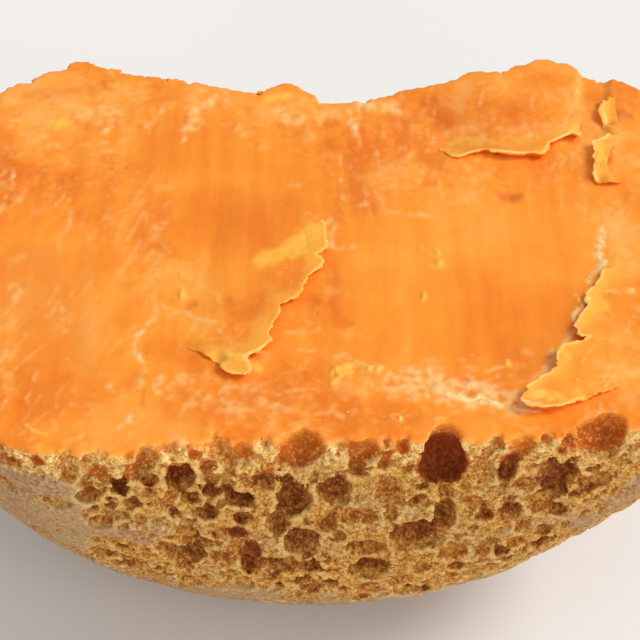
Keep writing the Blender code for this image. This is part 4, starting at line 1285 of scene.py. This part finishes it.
def build_cheese(maps, material):
    """The rind with all that it holds, and the sheet of cut paste on it, which keeps more of its
    detail."""
    rind, skin, eaten, stain, crumbled = body_fields()
    rind = np.maximum(rind, -Z)
    top = Z - FACE_HEIGHT - maps["relief"][:, :, None] + CRUMBLED_SINK * crumbled
    body = rounded_max(rind, top, RIM_ROUNDING).astype(np.float32)
    solid = blurred((body < 0).astype(np.float32), HOLLOW_REACH)
    core_top = FACE_HEIGHT - CORE_TOP_BELOW
    core = np.maximum(body, Z - core_top)
    points, quads = largest_piece(*closed_surface(bounded(core)))
    near_rind = ((points[:, 1] < NEAR_RIND_FROM) & (points[:, 2] > NEAR_RIND_ABOVE)
                 & (points[:, 2] < core_top - 0.2))
    weights = np.where(near_rind, NEAR_WEIGHT, 1.0)
    core = add_piece("cheese_rind", points, quads, material, weights)

    sheet_bottom = FACE_HEIGHT - TOP_SHEET_BELOW
    lowest = int(np.searchsorted(GRID[2], sheet_bottom - 1.0))
    slab = (GRID[0], GRID[1], GRID[2][lowest:])
    sheet = np.maximum(body[:, :, lowest:], sheet_bottom - slab[2])
    points, quads = largest_piece(*closed_surface(bounded(sheet), slab))
    weights = np.where(points[:, 2] > sheet_bottom + 0.3, 0.0, 1.0)
    sheet = add_piece("cut_paste", points, quads, material, weights)
    for obj in (core, sheet):
        points = mesh_points(obj.data)
        height = points[:, 2] - FACE_HEIGHT - over_face(maps["relief"], points)
        looks = dict(depth_mm=-sampled(skin, points), eaten=sampled(eaten, points),
                     hollow=sampled(solid, points), stain=sampled(stain, points))
        looks["cut"] = smooth_step(-1.0, -0.3, height) * (1.0 - sampled(crumbled, points))
        bare = looks["eaten"] ** 2 * (1.0 - looks["stain"]) ** 2 * (points[:, 2] > GRAINS_ABOVE)
        looks["granules"] = (bare * smooth_step(0.0, -14.0, points[:, 1])
                             * smooth_step(-0.3, -0.8, height))
        if obj == sheet:
            looks.update(paste_looks(maps, points))
            crumbly = np.clip(looks["chalk"] + CRUMBS_ELSEWHERE * looks["worn"], 0.0, 1.0)
            looks["crumbs"] = crumbly * smooth_step(-0.6, -0.1, height)
        for name, values in looks.items():
            paint(obj.data, name, values)
    return core, sheet


def flake_piece(name, line, back, width, curl, thin, seed, maps, material, fade=FLAKE_END):
    """A torn flake: it rises out of the face behind, and its thin ragged lip overhangs the step in
    front."""
    low = np.min(line, 0) - width - 1.0
    high = np.max(line, 0) + width + 1.0
    grid = (np.arange(low[0], high[0], FLAKE_STEP), np.arange(low[1], high[1], FLAKE_STEP),
            np.arange(FACE_HEIGHT - 1.4, FACE_HEIGHT + 3.0, FLAKE_STEP * 0.7))
    x, y = np.ix_(*grid[:2])
    z = grid[2]
    ragged = sum(size * lumps(spacing, seed + i, OVER_FACE, grid)
                 for i, (spacing, size) in enumerate(LIP_NOTCHES))
    away = polygon_distance(x, y, line + back) + ragged
    behind = line_distance(x, y, line)
    reach = width * (1.0 + 0.15 * lumps(5.0, seed + 3, OVER_FACE, grid))
    ends = smooth_step(0.0, fade, np.hypot(x - line[0][0], y - line[0][1]))
    ends = ends * smooth_step(0.0, FLAKE_END, np.hypot(x - line[-1][0], y - line[-1][1]))
    layer = TORN_LAYERS[name.split("_")[0]]
    top = (FACE_HEIGHT + layer_top(x, y, **layer) + FLAKE_ABOVE_LAYER - FLAKE_END_DROP * (1.0 - ends)
           + curl * np.clip(1.0 - behind / LIP_CURL_REACH, 0.0, 1.0) ** 2
           - FLAKE_SINK_BEHIND * smooth_step(FLAKE_END, reach, behind))[:, :, None]
    front = away[:, :, None] - LIP_FORWARD + FLAKE_UNDERCUT * np.maximum(top - z, 0.0)
    field = np.maximum(rounded_max(front, z - top, LIP_ROUNDING), 0.8 * (behind - reach)[:, :, None])
    field = np.maximum(field, FACE_HEIGHT - FLAKE_BOTTOM - z)
    points, quads = largest_piece(*closed_surface(bounded(field), grid))
    obj = add_piece("flake_" + name, points, quads, material)

    behind = line_distance(points[:, 0], points[:, 1], line)
    i, j = (np.clip(np.searchsorted(grid[axis], points[:, axis]), 0, len(grid[axis]) - 1)
            for axis in OVER_FACE)
    # Below the top the flake is painted deep orange, as deeper paste and as painted shade under its
    # overhanging lip.
    under = smooth_step(0.2, 0.7, top[i, j, 0] - points[:, 2])
    looks = paste_looks(maps, points)
    dusty = 0.5 + 0.5 * looks["mottle"]
    broken = np.clip(0.62 + 0.42 * lumps(3.0, seed + 4, OVER_FACE, grid)[i, j], 0.15, 1.0)
    band = thin[1] * smooth_step(thin[0], 0.3, behind) * broken
    looks["thin"] = np.maximum(looks["thin"], band) * (1.0 - under)
    looks["thin"] = np.maximum(looks["thin"], 0.9 * smooth_step(0.9, 0.2, behind) * (1.0 - under))
    crumbly_lip = 0.5 * dusty * smooth_step(0.5, 0.1, behind)
    looks["chalk"] = np.maximum(looks["chalk"], crumbly_lip) * (1.0 - under)
    looks["deep"] = np.maximum(looks["deep"] * 0.4, 0.7 * under)
    looks["dried"] = looks["dried"] * smooth_step(0.5, 3.0, behind)
    looks["cut"] = np.ones(len(points))
    looks["depth_mm"] = np.full(len(points), FLAKE_DEPTH_MM)
    for key, values in looks.items():
        paint(obj.data, key, values)
    return obj


def grain_material(name, dark, mid, light):
    """Dry crumbs that broke off by themselves: dull and rough, each of its own tone."""
    made, tree = new_material(name)
    place = node(tree, "ShaderNodeTexCoord", output=3)
    tone = node(tree, NOISE, {"Vector": place, "Scale": per_metre(GRAIN_TONES), "Detail": 2.0})
    colour = node(tree, RAMP, {0: tone}, ramp=((0.34, dark), (0.50, mid), (0.66, light)))
    shader = node(tree, "ShaderNodeBsdfPrincipled", {"Base Color": colour, "Roughness": 0.95,
                                                     "Specular IOR Level": 0.1})
    node(tree, "ShaderNodeOutputMaterial", {"Surface": shader})
    return made


def grain_shape():
    """One crumb: an eight-sided lump, a metre across, that the scatter scales down."""
    rng = random.Random(CRUMB_SEED)
    points = [(0.5, 0, 0), (0, 0.42, 0), (-0.46, 0, 0), (0, -0.5, 0), (0, 0, 0.4), (0, 0, -0.44)]
    points = [tuple(axis + rng.uniform(-0.1, 0.1) for axis in point) for point in points]
    faces = [(0, 1, 4), (1, 2, 4), (2, 3, 4), (3, 0, 4), (1, 0, 5), (2, 1, 5), (3, 2, 5), (0, 3, 5)]
    mesh = bpy.data.meshes.new("one crumb")
    mesh.from_pydata(points, [], faces)
    return new_object("one crumb", mesh)


def grain_tree():
    """Nodes that strew crumbs over a mesh, as thickly as one of its attributes says."""
    tree = bpy.data.node_groups.new("strewn crumbs", "GeometryNodeTree")
    for name, kind in (("Mesh", "Geometry"), ("Crumb", "Object"), ("Share", "String"),
                       ("Per square metre", "Float"), ("Seed", "Int"), ("Smallest", "Float"),
                       ("Largest", "Float"), ("Material", "Material")):
        tree.interface.new_socket(name=name, in_out="INPUT", socket_type="NodeSocket" + kind)
    tree.interface.new_socket(name="Crumbs", in_out="OUTPUT", socket_type="NodeSocketGeometry")
    given = node(tree, "NodeGroupInput").node.outputs
    share = node(tree, "GeometryNodeInputNamedAttribute", {"Name": given["Share"]}, data_type="FLOAT")
    thickness = node(tree, MATH, {0: share, 1: given["Per square metre"]}, operation="MULTIPLY")
    points = node(tree, "GeometryNodeDistributePointsOnFaces",
                  {"Mesh": given["Mesh"], "Density": thickness, "Seed": given["Seed"]})
    turn = node(tree, "FunctionNodeRandomValue",
                {0: (0.0, 0.0, 0.0), 1: (6.28, 6.28, 6.28), "Seed": 1}, data_type="FLOAT_VECTOR")
    draw = node(tree, "FunctionNodeRandomValue", {2: 0.0, 3: 1.0, "Seed": 2}, output=1)
    skewed = node(tree, MATH, {0: draw, 1: 2.0}, operation="POWER")
    size = node(tree, RANGE, {0: skewed, 3: given["Smallest"], 4: given["Largest"]})
    crumb = node(tree, "GeometryNodeObjectInfo", {"Object": given["Crumb"]}, output="Geometry")
    placed = node(tree, "GeometryNodeInstanceOnPoints",
                  {"Points": points, "Instance": crumb, "Rotation": turn, "Scale": size})
    loose = node(tree, "GeometryNodeRealizeInstances", {"Geometry": placed})
    done = node(tree, "GeometryNodeSetMaterial", {"Geometry": loose, "Material": given["Material"]})
    node(tree, "NodeGroupOutput", {0: done})
    return tree


def strewn(name, ground, tree, settings):
    """Crumbs strewn over an object, as a piece of their own."""
    obj = new_object(name, ground.data.copy())
    scatter = obj.modifiers.new("Crumbs", "NODES")
    scatter.node_group = tree
    sockets = {item.name: item.identifier for item in tree.interface.items_tree
               if item.in_out == "INPUT"}
    for key, value in settings.items():
        scatter[sockets[key]] = value
    mesh = bpy.data.meshes.new_from_object(obj.evaluated_get(bpy.context.evaluated_depsgraph_get()))
    obj.modifiers.remove(scatter)
    bare = obj.data
    obj.data = mesh
    mesh.shade_smooth()
    mesh.name = name
    bpy.data.meshes.remove(bare)
    return obj


def strewn_crumbs(rind, sheet):
    """Granules on the eaten rind and crumbs on the cut face, a piece for each kind."""
    tree = grain_tree()
    crumb = grain_shape()
    granules = grain_material("mimolette rind granules", "#AA722A", "#D09C48", "#E6BE78")
    crumbs = grain_material("mimolette paste crumbs", "#F5A24A", "#FFC880", "#FFE4B8")
    pieces = [strewn(name, ground, tree, {"Crumb": crumb, "Material": material,
                                          **dict(zip(STREWN_INPUTS, settings))})
              for (name, settings), ground, material in
              zip(STREWN.items(), (rind, sheet, sheet), (granules, granules, crumbs))]
    bpy.data.objects.remove(crumb)
    return pieces


def floor():
    """A plain pale tabletop, matt."""
    made, tree = new_material("plain matt tabletop")
    shader = node(tree, "ShaderNodeBsdfPrincipled", {"Base Color": "#EFEDEA", "Roughness": 0.9})
    node(tree, "ShaderNodeOutputMaterial", {"Surface": shader})
    mesh = bpy.data.meshes.new("tabletop")
    reach = TABLETOP_REACH
    mesh.from_pydata([(-reach, -reach, 0), (reach, -reach, 0), (reach, reach, 0), (-reach, reach, 0)],
                     [], [(0, 1, 2, 3)])
    mesh.materials.append(made)
    return new_object("tabletop", mesh)


def add_light(name, place, power, size):
    """A square soft white light that points at the cheese."""
    lamp = bpy.data.lights.new(name, "AREA")
    lamp.energy = power
    lamp.size = size
    obj = new_object(name, lamp)
    obj.location = place
    obj.rotation_euler = (Vector(LIT_PLACE) - Vector(place)).to_track_quat("-Z", "Y").to_euler()


def studio():
    """Soft light from two windows on the right and a weak fill in front, and the camera where the
    photo was taken."""
    scene = bpy.context.scene
    scene.view_settings.view_transform = "Standard"
    world = bpy.data.worlds.new("soft studio")
    world.use_nodes = True
    background = world.node_tree.nodes["Background"]
    background.inputs["Color"].default_value = linear(SKY_COLOUR)
    background.inputs["Strength"].default_value = SKY_STRENGTH
    scene.world = world
    for light in LIGHTS:
        add_light(*light)
    camera = new_object("camera", bpy.data.cameras.new("camera"))
    camera.data.lens = CAMERA_LENS
    camera.data.sensor_width = CAMERA_SENSOR
    camera.location = CAMERA_PLACE
    camera.rotation_euler = (CAMERA_TILT, 0.0, 0.0)
    camera.data.clip_start = 0.02
    camera.data.clip_end = 30.0
    scene.camera = camera


maps = face_maps()
mimolette = cheese_material()
cheese = build_cheese(maps, mimolette)
crumbs = strewn_crumbs(*cheese)
for piece in crumbs:
    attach(piece, "root")
for piece in cheese:
    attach(piece, "root")
    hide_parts("cheese")
for number, (name, lip) in enumerate(LIPS.items()):
    flake = flake_piece(name, seed=FLAKE_SEED + 10 * number, maps=maps, material=mimolette, **lip)
    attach(flake, "root")
floor()
studio()
